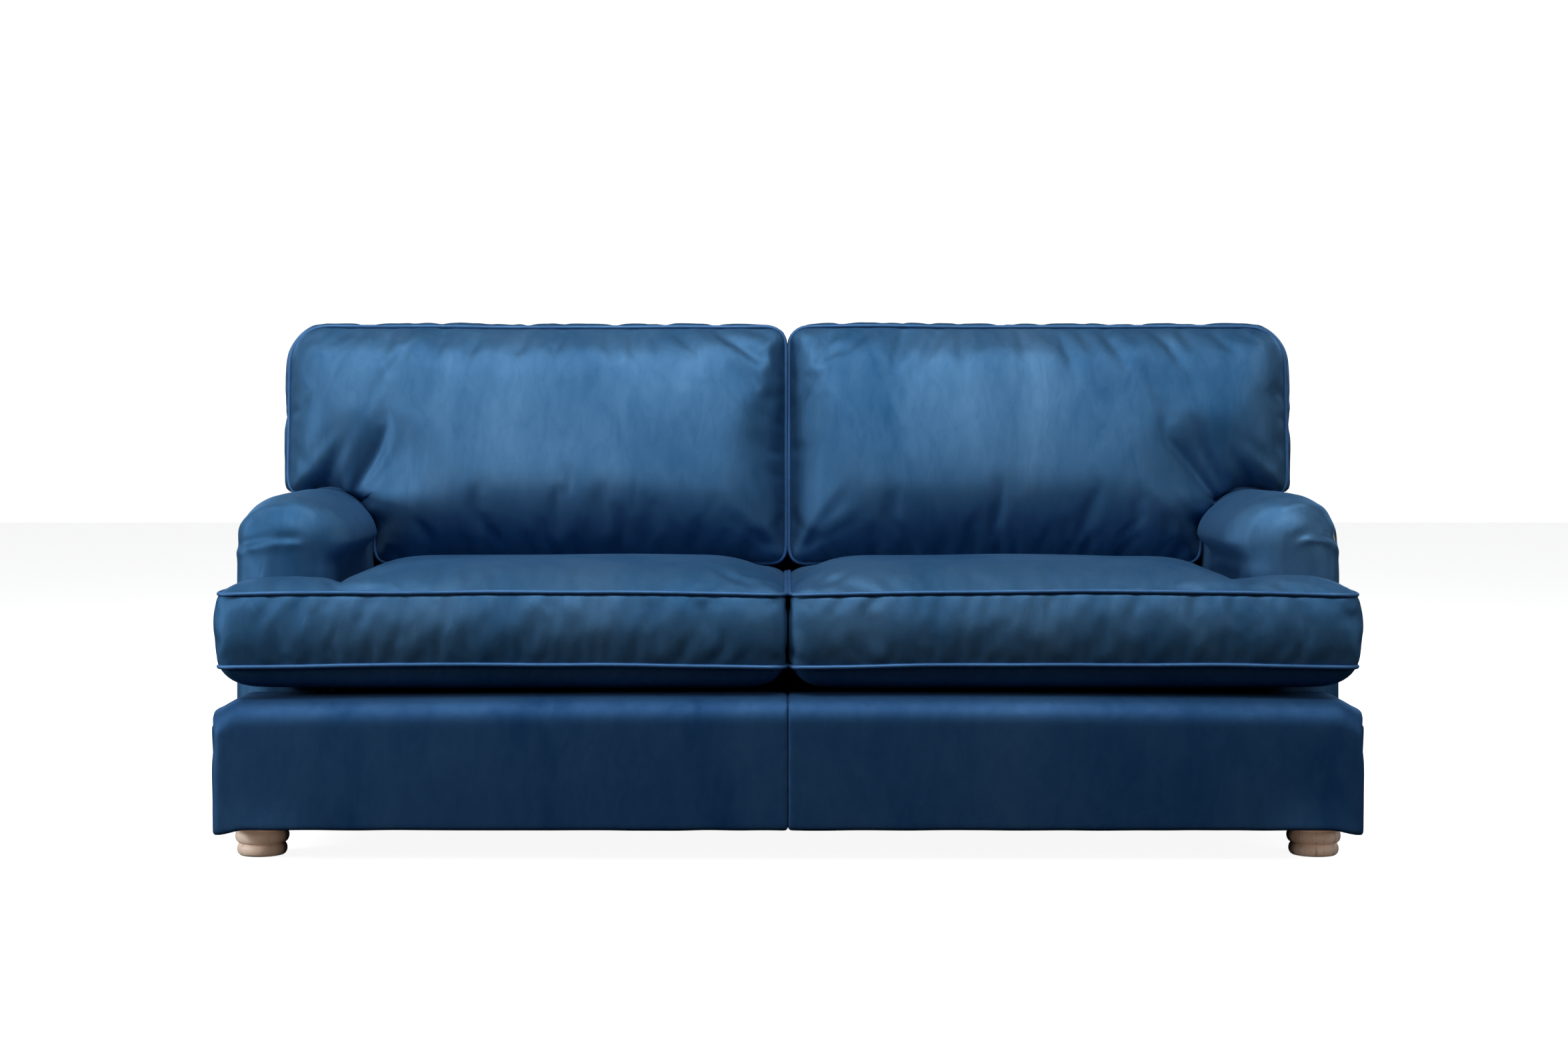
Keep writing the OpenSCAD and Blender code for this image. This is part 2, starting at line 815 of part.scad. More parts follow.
module back_core(side) {
    color("lightyellow") on_side(side) back_solid(cloth_t + 0.5);
}

module back_piping(side) {
    points = [
        [seat_in, 0], [seat_out, 0], [seat_out, ear_z],
        [ear_out, ear_z], [ear_out, back_cushion_h], [seat_in, back_cushion_h]
    ];
    radii = [seat_r, seat_r, turn_r, seat_r, ear_r, seat_r];
    seams = [back_crown_rear, back_crown_rear + back_border];
    color("steelblue") on_side(side) in_lean() upright()
        for (z = seams) translate([0, 0, z]) cord_loop(points, radii);
}

front_rail();
back_seat_rail();
side_rails();
seat_stretchers();
corner_blocks();
block_screws();
back_posts();
back_post_centre();
back_top_rail();
arm_boards();
arm_top_bars();
tack_rails();
arm_panels();
outside_back_board();
seat_springs();
spring_clips();
spring_hessian();
deck_pad();
deck_cover();
back_webbing();
inside_back_pad();
inside_back_cover();
back_edge_pad();
outside_back_cover();
arm_pad(-1);  // arm_pad_left
arm_pad(1);  // arm_pad_right
arm_cover(-1);  // arm_cover_left
arm_cover(1);  // arm_cover_right
front_border_pad();
border_cover(-1);  // border_cover_left
border_cover(1);  // border_cover_right
dust_cover();
foot(-1, foot_front_y);  // foot_front_left
foot(1, foot_front_y);  // foot_front_right
foot(-1, foot_back_y);  // foot_back_left
foot(1, foot_back_y);  // foot_back_right
foot_bolts();
tee_nuts();
foot_glides();
seat_cover(-1);  // seat_cover_left
seat_core(-1);  // seat_core_left
seat_piping(-1);  // seat_piping_left
seat_zip(-1);  // seat_zip_left
seat_zip_slider(-1);  // seat_zip_slider_left
seat_cover(1);  // seat_cover_right
seat_core(1);  // seat_core_right
seat_piping(1);  // seat_piping_right
seat_zip(1);  // seat_zip_right
seat_zip_slider(1);  // seat_zip_slider_right
back_cover(-1);  // back_cover_left
back_core(-1);  // back_core_left
back_piping(-1);  // back_piping_left
back_zip(-1);  // back_zip_left
back_zip_slider(-1);  // back_zip_slider_left
back_cover(1);  // back_cover_right
back_core(1);  // back_core_right
back_piping(1);  // back_piping_right
back_zip(1);  // back_zip_right
back_zip_slider(1);  // back_zip_slider_right
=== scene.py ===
"""The looks of a three-seat English-arm sofa in blue velvet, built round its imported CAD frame.

Metres, in the frame of the CAD: X across the sofa, -Y its front, +Z up. Left and right are as seen
from the front. The sections follow the sofa as an upholsterer puts it together."""

import math

import bmesh
import bpy
import numpy as np
from mathutils import Matrix, Vector, noise


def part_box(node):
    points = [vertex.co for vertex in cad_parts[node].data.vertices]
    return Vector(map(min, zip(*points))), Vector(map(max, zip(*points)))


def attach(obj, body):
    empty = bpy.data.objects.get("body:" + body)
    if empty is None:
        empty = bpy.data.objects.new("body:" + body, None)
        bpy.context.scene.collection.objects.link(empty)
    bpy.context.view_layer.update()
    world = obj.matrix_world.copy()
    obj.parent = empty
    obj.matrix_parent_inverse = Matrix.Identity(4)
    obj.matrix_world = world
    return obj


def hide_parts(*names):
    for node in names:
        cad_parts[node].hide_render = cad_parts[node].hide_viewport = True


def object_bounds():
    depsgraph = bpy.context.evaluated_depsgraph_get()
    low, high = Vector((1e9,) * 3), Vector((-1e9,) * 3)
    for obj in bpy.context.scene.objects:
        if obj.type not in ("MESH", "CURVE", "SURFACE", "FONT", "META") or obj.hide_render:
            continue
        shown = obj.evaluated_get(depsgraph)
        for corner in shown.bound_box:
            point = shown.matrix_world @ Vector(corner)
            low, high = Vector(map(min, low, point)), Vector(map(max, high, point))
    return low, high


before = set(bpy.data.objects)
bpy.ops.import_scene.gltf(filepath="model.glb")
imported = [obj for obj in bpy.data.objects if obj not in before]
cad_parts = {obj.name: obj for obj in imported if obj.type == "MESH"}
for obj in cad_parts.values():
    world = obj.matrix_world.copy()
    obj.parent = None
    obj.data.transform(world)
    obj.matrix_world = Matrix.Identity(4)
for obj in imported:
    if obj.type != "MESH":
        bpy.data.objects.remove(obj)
cad_low, cad_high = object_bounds()

# ---- Camera ----
# A long lens at chest height, level and square to the front, shifted down a little to take in the feet.
camera_data = bpy.data.cameras.new("camera")
camera_data.lens = 60.1
camera_data.sensor_width = 36
camera_data.shift_y = -0.0693
camera = bpy.data.objects.new("camera", camera_data)
camera.location = (-0.007, cad_low.y - 4.6, 0.79)
camera.rotation_euler = (math.radians(90), 0, 0)
bpy.context.scene.collection.objects.link(camera)
bpy.context.scene.camera = camera
bpy.context.scene.view_settings.view_transform = "Standard"


# ---- Studio ----
# A white floor and backdrop that look like bright paper but throw little light back on the velvet. One
# long softbox stands high in front and one hangs overhead, with a box at each side, weak fills in front
# and behind, and a narrow warm lamp on each front foot.
class Field:
    """An output socket in a material's nodes. Sums and products of fields add Math nodes."""

    def __init__(self, tree, socket):
        self.tree = tree
        self.socket = socket

    def node(self, kind, settings=(), inputs=(), output=0):
        """Adds a node of that kind, sets it, feeds its inputs and gives its output."""
        made = self.tree.nodes.new(kind)
        for name, value in dict(settings).items():
            if name == "stops":
                while len(made.color_ramp.elements) < len(value):
                    made.color_ramp.elements.new(0.5)
                for stop, (at, colour) in zip(made.color_ramp.elements, value):
                    stop.position = at
                    stop.color = (*colour, 1)
            else:
                setattr(made, name, value)
        for key, value in dict(inputs).items():
            if isinstance(value, Field):
                self.tree.links.new(value.socket, made.inputs[key])
            else:
                made.inputs[key].default_value = value
        return Field(self.tree, made.outputs[output] if made.outputs else None)

    def maths(self, operation, a, b=0.0, clamp=False):
        settings = {"operation": operation, "use_clamp": clamp}
        return self.node("ShaderNodeMath", settings, {0: a, 1: b})

    def __add__(self, other):
        return self.maths("ADD", self, other)

    def __sub__(self, other):
        return self.maths("SUBTRACT", self, other)

    def __rsub__(self, other):
        return self.maths("SUBTRACT", other, self)

    def __mul__(self, other):
        return self.maths("MULTIPLY", self, other)

    __radd__ = __add__
    __rmul__ = __mul__

    def feed(self, shader, name):
        """Links this field to an input of the shader."""
        self.tree.links.new(self.socket, shader.inputs[name])


def soft_box(name, place, aim, size, power, colour=(1, 1, 1)):
    """A rectangular studio light that points from a place at an aim."""
    light = bpy.data.lights.new(name, "AREA")
    light.shape = "RECTANGLE"
    light.size, light.size_y = size
    light.energy = power
    light.color = colour
    box = bpy.data.objects.new(name, light)
    box.location = place
    box.rotation_euler = (Vector(aim) - Vector(place)).to_track_quat("-Z", "Y").to_euler()
    bpy.context.scene.collection.objects.link(box)


middle = Vector((0, 0, 0.5))
soft_box("front_softbox", (-0.4, -2.45, 4.2), (0, -0.1, 0.5), (4.6, 0.9), 225)
soft_box("overhead_softbox", (0, -0.3, 4.3), (0, -0.1, 0.5), (5.0, 1.2), 28)
soft_box("front_fill", (-1.2, -5.5, 2.2), middle, (3.0, 2.0), 3, (0.5, 0.75, 1))
soft_box("side_left", (-3.4, -1.3, 1.0), (-0.95, -0.3, 0.5), (1.0, 0.6), 55)
soft_box("side_right", (3.4, -1.3, 1.0), (0.95, -0.3, 0.5), (1.0, 0.6), 14)
LAMP_BEAM = math.radians(3.6)
LAMP_COLOUR = (1, 0.80, 0.66)
for side, way in (("left", -1), ("right", 1)):
    lamp = bpy.data.lights.new(f"foot_lamp_{side}", "SPOT")
    lamp.energy = 66
    lamp.color = LAMP_COLOUR
    lamp.spot_size = LAMP_BEAM
    lamp.spot_blend = 0.8
    lamp.shadow_soft_size = 0.05
    snoot = bpy.data.objects.new(f"foot_lamp_{side}", lamp)
    snoot.location = (way * 1.5, -3.2, 0.12)
    on_foot = Vector((way * 0.9, -0.35, 0.022))
    snoot.rotation_euler = (on_foot - snoot.location).to_track_quat("-Z", "Y").to_euler()
    bpy.context.scene.collection.objects.link(snoot)
soft_box("rear_fill_left", (-3.6, 3.4, 2.6), middle, (2.5, 2.5), 70)
soft_box("rear_fill_right", (3.6, 3.4, 2.6), middle, (2.5, 2.5), 60)

world = bpy.data.worlds.new("studio")
bpy.context.scene.world = world
world.use_nodes = True
world.node_tree.nodes.clear()
sky = Field(world.node_tree, None)
seen = sky.node("ShaderNodeLightPath")
lit = sky.node("ShaderNodeBackground", (), {"Color": (0.35, 0.65, 1, 1), "Strength": 0.012})
paper = sky.node("ShaderNodeBackground", (), {"Color": (1, 1, 1, 1), "Strength": 1.15})
backdrop = sky.node("ShaderNodeMixShader", (), {0: seen, 1: lit, 2: paper})
sky.node("ShaderNodeOutputWorld", (), {"Surface": backdrop})

floor_bm = bmesh.new()
bmesh.ops.create_grid(floor_bm, x_segments=8, y_segments=8, size=14)
bmesh.ops.translate(floor_bm, verts=floor_bm.verts, vec=(0, 0, -0.0004))
floor_mesh = bpy.data.meshes.new("studio_floor")
floor_bm.to_mesh(floor_mesh)
floor = bpy.data.objects.new("studio_floor", floor_mesh)
bpy.context.scene.collection.objects.link(floor)
floor_finish = bpy.data.materials.new("floor_paper")
floor_finish.use_nodes = True
floor_finish.node_tree.nodes.clear()
ground = Field(floor_finish.node_tree, None)
seen = ground.node("ShaderNodeLightPath")
dim = ground.node("ShaderNodeBsdfDiffuse", (), {"Color": (0.015, 0.015, 0.016, 1)})
bright = ground.node("ShaderNodeBsdfDiffuse", (), {"Color": (0.55, 0.55, 0.55, 1)})
glow = ground.node("ShaderNodeEmission", (), {"Color": (1, 1, 1, 1), "Strength": 0.92})
lifted = ground.node("ShaderNodeAddShader", (), {0: bright, 1: glow})
sheet = ground.node("ShaderNodeMixShader", (), {0: seen, 1: dim, 2: lifted})
ground.node("ShaderNodeOutputMaterial", (), {"Surface": sheet})
floor.data.materials.append(floor_finish)


# ---- Timber frame ----
# Kiln-dried beech rails, posts, stretchers, blocks and bars, glued and screwed, with plywood arm
# boards and hardboard panels. They are the CAD's own solids with sawn and planed wood finishes.
def new_finish(name):
    """A material with its shader and a field of its own object coordinates."""
    material = bpy.data.materials.new(name)
    material.use_nodes = True
    tree = material.node_tree
    place = Field(tree, tree.nodes.new("ShaderNodeTexCoord").outputs["Object"])
    return material, tree.nodes["Principled BSDF"], place


def stretched(place, scale, turn=(0, 0, 0)):
    """Coordinates turned and stretched, so that a pattern can run along one way."""
    inputs = {"Vector": place, "Rotation": turn, "Scale": scale}
    return place.node("ShaderNodeMapping", (), inputs)


def cloud(place, scale, detail=3.0, roughness=0.5, distortion=0.0):
    """Soft random patches, from 0 to 1."""
    inputs = {"Vector": place, "Scale": scale, "Detail": detail, "Roughness": roughness,
              "Distortion": distortion}
    return place.node("ShaderNodeTexNoise", (), inputs)


def blend_colour(factor, low, high):
    """A colour that goes from low to high with a factor."""
    inputs = {0: factor}
    for key, colour in ((6, low), (7, high)):
        inputs[key] = colour if isinstance(colour, Field) else (*colour, 1)
    return factor.node("ShaderNodeMix", {"data_type": "RGBA"}, inputs, 2)


def raised(shader, height, depth, strength=1.0):
    """Bumps the shader's surface by a height field, depth metres for each unit."""
    inputs = {"Height": height, "Distance": depth, "Strength": strength}
    height.node("ShaderNodeBump", (), inputs).feed(shader, "Normal")


def wood(name, pale, dark, along, ring=26.0, polish=0.55, pore=0.0002):
    """Straight-grained timber. along is the stretch of the grain on X, Y and Z, small along it."""
    material, shader, place = new_finish(name)
    grain = cloud(stretched(place, along), ring, 5.0, 0.55, 0.6)
    fleck = cloud(stretched(place, [8 * a for a in along]), ring * 2.2, 2.0, 0.6)
    band = grain.node("ShaderNodeValToRGB", {"stops": [(0.32, dark), (0.5, pale), (0.72, dark)]},
                      {0: grain})
    blend_colour(fleck * 0.35, band, [c * 0.55 for c in dark]).feed(shader, "Base Color")
    (polish + 0.2 * (fleck - 0.5)).feed(shader, "Roughness")
    raised(shader, grain * 0.6 + fleck * 0.4, pore)
    return material


def dress(node, material):
    """Gives a CAD node's solid a finish."""
    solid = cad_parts[node]
    solid.data.materials.clear()
    solid.data.materials.append(material)


beech_pale, beech_dark = (0.56, 0.38, 0.22), (0.42, 0.25, 0.13)
beech_across = wood("beech_across", beech_pale, beech_dark, (0.12, 1, 1))
beech_deep = wood("beech_deep", beech_pale, beech_dark, (1, 0.12, 1))
beech_up = wood("beech_up", beech_pale, beech_dark, (1, 1, 0.12))
plywood = wood("plywood", (0.62, 0.47, 0.30), (0.50, 0.35, 0.20), (1, 0.2, 1), 18.0, 0.6)
hardboard = wood("hardboard", (0.27, 0.16, 0.08), (0.20, 0.11, 0.055), (1, 1, 1), 160.0, 0.5)
for node in ("front_rail", "back_seat_rail", "back_top_rail", "tack_rails", "corner_blocks"):
    dress(node, beech_across)
for node in ("side_rails", "seat_stretchers", "arm_top_bars"):
    dress(node, beech_deep)
for node in ("back_posts", "back_post_centre"):
    dress(node, beech_up)
dress("arm_boards", plywood)
for node in ("arm_panels", "outside_back_board"):
    dress(node, hardboard)


# ---- Springs, screws, webbing and hessian ----
# Zigzag springs of oiled wire held by plated clips, plated screws, bolts and nuts, elastic webbing
# up the back, and jute hessian over the springs. All are the CAD's solids with their own finishes.
def plated(name, colour, roughness, scratch=0.12):
    """Plated or oiled steel with fine drawn scratches and duller patches."""
    material, shader, place = new_finish(name)
    worn = cloud(place, 55.0, 4.0, 0.6)
    drawn = cloud(stretched(place, (40, 40, 900)), 1.0, 2.0)
    blend_colour(worn, [c * 0.75 for c in colour], colour).feed(shader, "Base Color")
    (roughness + scratch * (worn - 0.5) + scratch * (drawn - 0.5)).feed(shader, "Roughness")
    (0.95 - 0.1 * worn).feed(shader, "Metallic")
    raised(shader, drawn, 0.00002)
    return material


def woven(name, warp, weft, pitch, slack=0.15, roughness=0.9, along="XY"):
    """Plain weave: two sets of threads of one pitch in metres, one over the other."""
    material, shader, place = new_finish(name)
    wander = cloud(place, 0.12 / pitch, 2.0)
    bent = place.node("ShaderNodeVectorMath", {"operation": "MULTIPLY_ADD"},
                      {0: wander, 1: (pitch * slack,) * 3, 2: place})
    parts = bent.node("ShaderNodeSeparateXYZ", (), {0: bent}).socket.node
    axes = [Field(place.tree, parts.outputs[way]) for way in along]
    waves = [a.maths("SINE", a * (math.tau / pitch)) for a in axes]
    over = waves[0] * waves[1]
    threads = over.maths("MAXIMUM", waves[0].maths("ABSOLUTE", waves[0]),
                         waves[1].maths("ABSOLUTE", waves[1]))
    shade = blend_colour(over.maths("ADD", over * 0.5, 0.5, True), warp, weft)
    blend_colour(threads, [c * 0.35 for c in warp], shade).feed(shader, "Base Color")
    (roughness - 0.1 * threads).feed(shader, "Roughness")
    raised(shader, threads, pitch * 0.25)
    return material


dress("seat_springs", plated("spring_wire", (0.20, 0.20, 0.21), 0.38))
zinc = plated("zinc_plate", (0.58, 0.59, 0.60), 0.34)
for node in ("spring_clips", "block_screws", "foot_bolts", "tee_nuts"):
    dress(node, zinc)
dress("spring_hessian", woven("hessian", (0.44, 0.32, 0.18), (0.36, 0.26, 0.14), 0.0024, 0.5))
dress("back_webbing", woven("webbing", (0.32, 0.28, 0.21), (0.10, 0.09, 0.08), 0.003, 0.2, 0.9, "XZ"))


# ---- Seat deck ----
# The platform under the loose seats: a foam and fibre pad over the hessian, covered in plain navy
# deck cloth that is turned under and tacked. It dips a little between the springs.
BLOCK_PITCH = 0.016


def grid_lines(breaks, pitch):
    """Lines with one on each break and even steps of at most the pitch between them."""
    lines = [breaks[0]]
    for a, b in zip(breaks, breaks[1:]):
        steps = max(1, math.ceil((b - a) / pitch - 1e-6))
        lines += [a + (b - a) * i / steps for i in range(1, steps + 1)]
    return lines


def panel_block(rects, depth, pitch):
    """A closed block of even squares: the union of flat rectangles, from one depth to another."""
    xs = grid_lines(sorted({r[0] for r in rects} | {r[2] for r in rects}), pitch)
    ys = grid_lines(sorted({r[1] for r in rects} | {r[3] for r in rects}), pitch)
    across, up = len(xs) - 1, len(ys) - 1
    bm = bmesh.new()
    bmesh.ops.create_grid(bm, x_segments=across, y_segments=up, size=1)
    for v in bm.verts:
        column, row = round((v.co.x + 1) / 2 * across), round((v.co.y + 1) / 2 * up)
        v.co = (xs[column], ys[row], depth[0])
    spare = []
    for face in bm.faces:
        c = face.calc_center_median()
        if not any(r[0] < c.x < r[2] and r[1] < c.y < r[3] for r in rects):
            spare.append(face)
    bmesh.ops.delete(bm, geom=spare, context="FACES")
    near_cap = bm.faces[:]
    edge = [e for e in bm.edges if e.is_boundary]
    lines = grid_lines(depth, pitch)
    far_cap = bmesh.ops.duplicate(bm, geom=bm.verts[:] + bm.edges[:] + near_cap)["geom"]
    far_points = [g for g in far_cap if isinstance(g, bmesh.types.BMVert)]
    bmesh.ops.translate(bm, verts=far_points, vec=(0, 0, depth[1] - depth[0]))
    for a, b in zip(lines, lines[1:]):
        grown = bmesh.ops.extrude_edge_only(bm, edges=edge)["geom"]
        points = [g for g in grown if isinstance(g, bmesh.types.BMVert)]
        bmesh.ops.translate(bm, verts=points, vec=(0, 0, b - a))
        fresh = set(points)
        edge = [g for g in grown if isinstance(g, bmesh.types.BMEdge) and set(g.verts) <= fresh]
    bmesh.ops.remove_doubles(bm, verts=bm.verts, dist=1e-5)
    bmesh.ops.recalc_face_normals(bm, faces=bm.faces)
    return bm


def points_of(bm):
    """The points of a mesh in the making, one row each."""
    return np.array([v.co for v in bm.verts])


def normals_of(bm, points):
    """Puts the points into the mesh and gives the normals there."""
    for v, point in zip(bm.verts, points):
        v.co = point
    bmesh.ops.recalc_face_normals(bm, faces=bm.faces)
    bm.normal_update()
    return np.array([v.normal for v in bm.verts])


def random_field(points, scale, seed):
    """Smooth noise from -1 to 1 at each point, the same on each run."""
    shift = Vector((seed * 17.3, seed * 5.1, seed * 9.7))
    return np.array([noise.noise(Vector(p) * scale + shift) for p in points])


def ease(x):
    """Goes smoothly from 0 to 1 as x does."""
    x = np.clip(x, 0, 1)
    return x * x * (3 - 2 * x)


def round_corner(points, corner, ways, radius):
    """Bends the square corner of a block's outline into a round one."""
    u = 1 - (corner[0] - points[:, 0]) * ways[0] / radius
    v = 1 - (corner[1] - points[:, 1]) * ways[1] / radius
    inside = (u > 0) & (v > 0) & (u < 1.001) & (v < 1.001)
    bent_u = u * np.sqrt(1 - np.minimum(v * v, 1) / 2)
    bent_v = v * np.sqrt(1 - np.minimum(u * u, 1) / 2)
    points[:, 0] = np.where(inside, corner[0] - ways[0] * (1 - bent_u) * radius, points[:, 0])
    points[:, 1] = np.where(inside, corner[1] - ways[1] * (1 - bent_v) * radius, points[:, 1])


def finished_piece(name, bm, points, material, body, nodes, smooth_levels=1):
    """Makes a mesh into a piece on a body that stands for its CAD nodes."""
    for v, point in zip(bm.verts, points):
        v.co = point
    bmesh.ops.recalc_face_normals(bm, faces=bm.faces)
    mesh = bpy.data.meshes.new(name)
    bm.to_mesh(mesh)
    bm.free()
    mesh.polygons.foreach_set("use_smooth", [True] * len(mesh.polygons))
    mesh.materials.append(material)
    piece = bpy.data.objects.new(name, mesh)
    bpy.context.scene.collection.objects.link(piece)
    if smooth_levels:
        surface = piece.modifiers.new("surface", "SUBSURF")
        surface.levels = surface.render_levels = smooth_levels
    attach(piece, body)
    if nodes:
        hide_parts(*nodes)
    return piece


deck_low, deck_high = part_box("deck_cover")
pad_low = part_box("deck_pad")[0]
deck_bm = panel_block([(deck_low.x, deck_low.y, deck_high.x, deck_high.y)],
                      (pad_low.z, deck_high.z), BLOCK_PITCH)
deck = points_of(deck_bm)
for low, high, axis in ((deck_low.x, deck_high.x, 0), (deck_low.y, deck_high.y, 1)):
    for face, way in ((low, -1), (high, 1)):
        near_edge = np.clip((face - deck[:, axis]) * way / 0.012, 0, 1)
        deck[:, 2] -= 0.004 * (1 - near_edge) ** 2 * (deck[:, 2] > pad_low.z + 0.03)
top_side = deck[:, 2] > deck_high.z - 0.006
spring_dip = 0.0012 * (1 + np.cos(deck[:, 0] * math.tau / 0.139))
slack_dip = 0.0016 * (1 + random_field(deck, 5.0, 1))
deck[:, 2] -= top_side * (spring_dip + slack_dip)
deck_cloth = woven("deck_cloth", (0.016, 0.040, 0.085), (0.010, 0.026, 0.058), 0.0011, 0.3)
deck_piece = finished_piece("deck_platform", deck_bm, deck, deck_cloth, "frame",
                            ["deck_cover", "deck_pad"])


# ---- Inside back ----
# Foam and fibre over the webbing, covered in the sofa's velvet, narrow between the arms and full
# width above them, and stitched to the outside back along the top and the sides.
VELVET_DARK, VELVET_LIGHT = (0.014, 0.074, 0.175), (0.088, 0.190, 0.325)


def velvet(name, seed, dark=VELVET_DARK, light=VELVET_LIGHT, streak=(1.0, 1.0, 0.45)):
    """Cut pile: brushed smudges that catch the light, crushed spots and a fine bloom of fibres."""
    material, shader, place = new_finish(name)
    offset = {"Vector": place, "Location": (seed * 3.1, seed * 1.7, seed * 2.3), "Scale": streak}
    brushed = place.node("ShaderNodeMapping", (), offset)
    smudge = cloud(brushed, 4.5, 4.0, 0.55, 0.8)
    crush = cloud(brushed, 38.0, 4.0, 0.62, 0.6)
    fibre = cloud(place, 1500.0, 2.0, 0.7)
    nap = smudge.maths("ADD", (smudge - 0.5) * 1.5 + (crush - 0.5) * 0.55, 0.5, True)
    tone = blend_colour(nap, dark, light)
    blend_colour(fibre.maths("MULTIPLY", fibre, 0.5, True), tone, dark).feed(shader, "Base Color")
    (0.64 - 0.12 * nap + 0.08 * (fibre - 0.5)).feed(shader, "Roughness")
    (0.66 + 0.10 * (nap - 0.5)).feed(shader, "Metallic")
    shader.inputs["Specular Tint"].default_value = (0.40, 0.62, 0.92, 1)
    shader.inputs["Specular IOR Level"].default_value = 0.15
    shader.inputs["Sheen Weight"].default_value = 0.04
    shader.inputs["Sheen Roughness"].default_value = 0.45
    shader.inputs["Sheen Tint"].default_value = (0.25, 0.48, 0.85, 1)
    raised(shader, fibre * 0.2 + crush * 0.8, 0.0016, 0.7)
    return material


LEAN = math.radians(6)
post_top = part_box("back_posts")[1]


def back_plane(z, depth):
    """How far back a plane of the leaning back is at a height, depth in front of the posts' rear."""
    return post_top.y - (post_top.z - z) * math.tan(LEAN) - depth


velvet_fixed = velvet("velvet_fixed", 1)
# A lighter copy of the velvet for the piping and the border stitches: painted highlight along the round
# cords.
velvet_piping = velvet("velvet_piping", 6, (0.034, 0.10, 0.23), (0.085, 0.21, 0.42), (1, 1, 1))
inside_low, inside_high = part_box("inside_back_cover")
deck_edge = deck_high.x - 0.001
arm_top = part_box("arm_cover_right")[1].z
WING_TUCK = 0.050
wing_low = arm_top - WING_TUCK
inside_bm = panel_block([(-deck_edge, inside_low.z, deck_edge, wing_low),
                         (inside_low.x, wing_low, inside_high.x, inside_high.z)],
                        (0, 0.0265), BLOCK_PITCH)
inside = points_of(inside_bm)
for way in (-1, 1):
    round_corner(inside, (way * inside_high.x, inside_high.z), (way, 1), 0.08)
from_top = np.clip((inside_high.z - inside[:, 1]) / 0.025, 0, 1)
roll = 0.010 * (1 - from_top) ** 2 * (inside[:, 2] < 0.02)
wave = 0.0012 * (1 + random_field(inside, 7.0, 2)) * (inside[:, 2] < 0.001)
inside = np.column_stack([inside[:, 0], back_plane(inside[:, 1], 0.074) + inside[:, 2] + roll + wave,
                          inside[:, 1]])
inside_piece = finished_piece("inside_back", inside_bm, inside, velvet_fixed, "frame",
                              ["inside_back_cover", "inside_back_pad"])


# ---- Arms ----
# Low English arms: velvet over foam and fibre, rolled over the top bar and drawn round the front
# board in one piece, with the fullness laid in two pleats that run out to the outside edge.
ARM_EDGE = 0.080
ARM_RIM = ARM_EDGE * (1 - math.sqrt(0.5))
ARM_PITCH = 0.0095
# Each pleat: where its crest is across and up, how sharply it falls outwards and inwards, its start
ARM_PLEATS = {
    "left": [(0.944, 0.618, 9.3, 3.6, 0.900), (0.922, 0.552, 2.2, 0.6, 0.875)],
    "right": [(0.948, 0.624, 6.4, 4.2, 0.888), (0.960, 0.562, 9.0, 7.0, 0.915)],
}


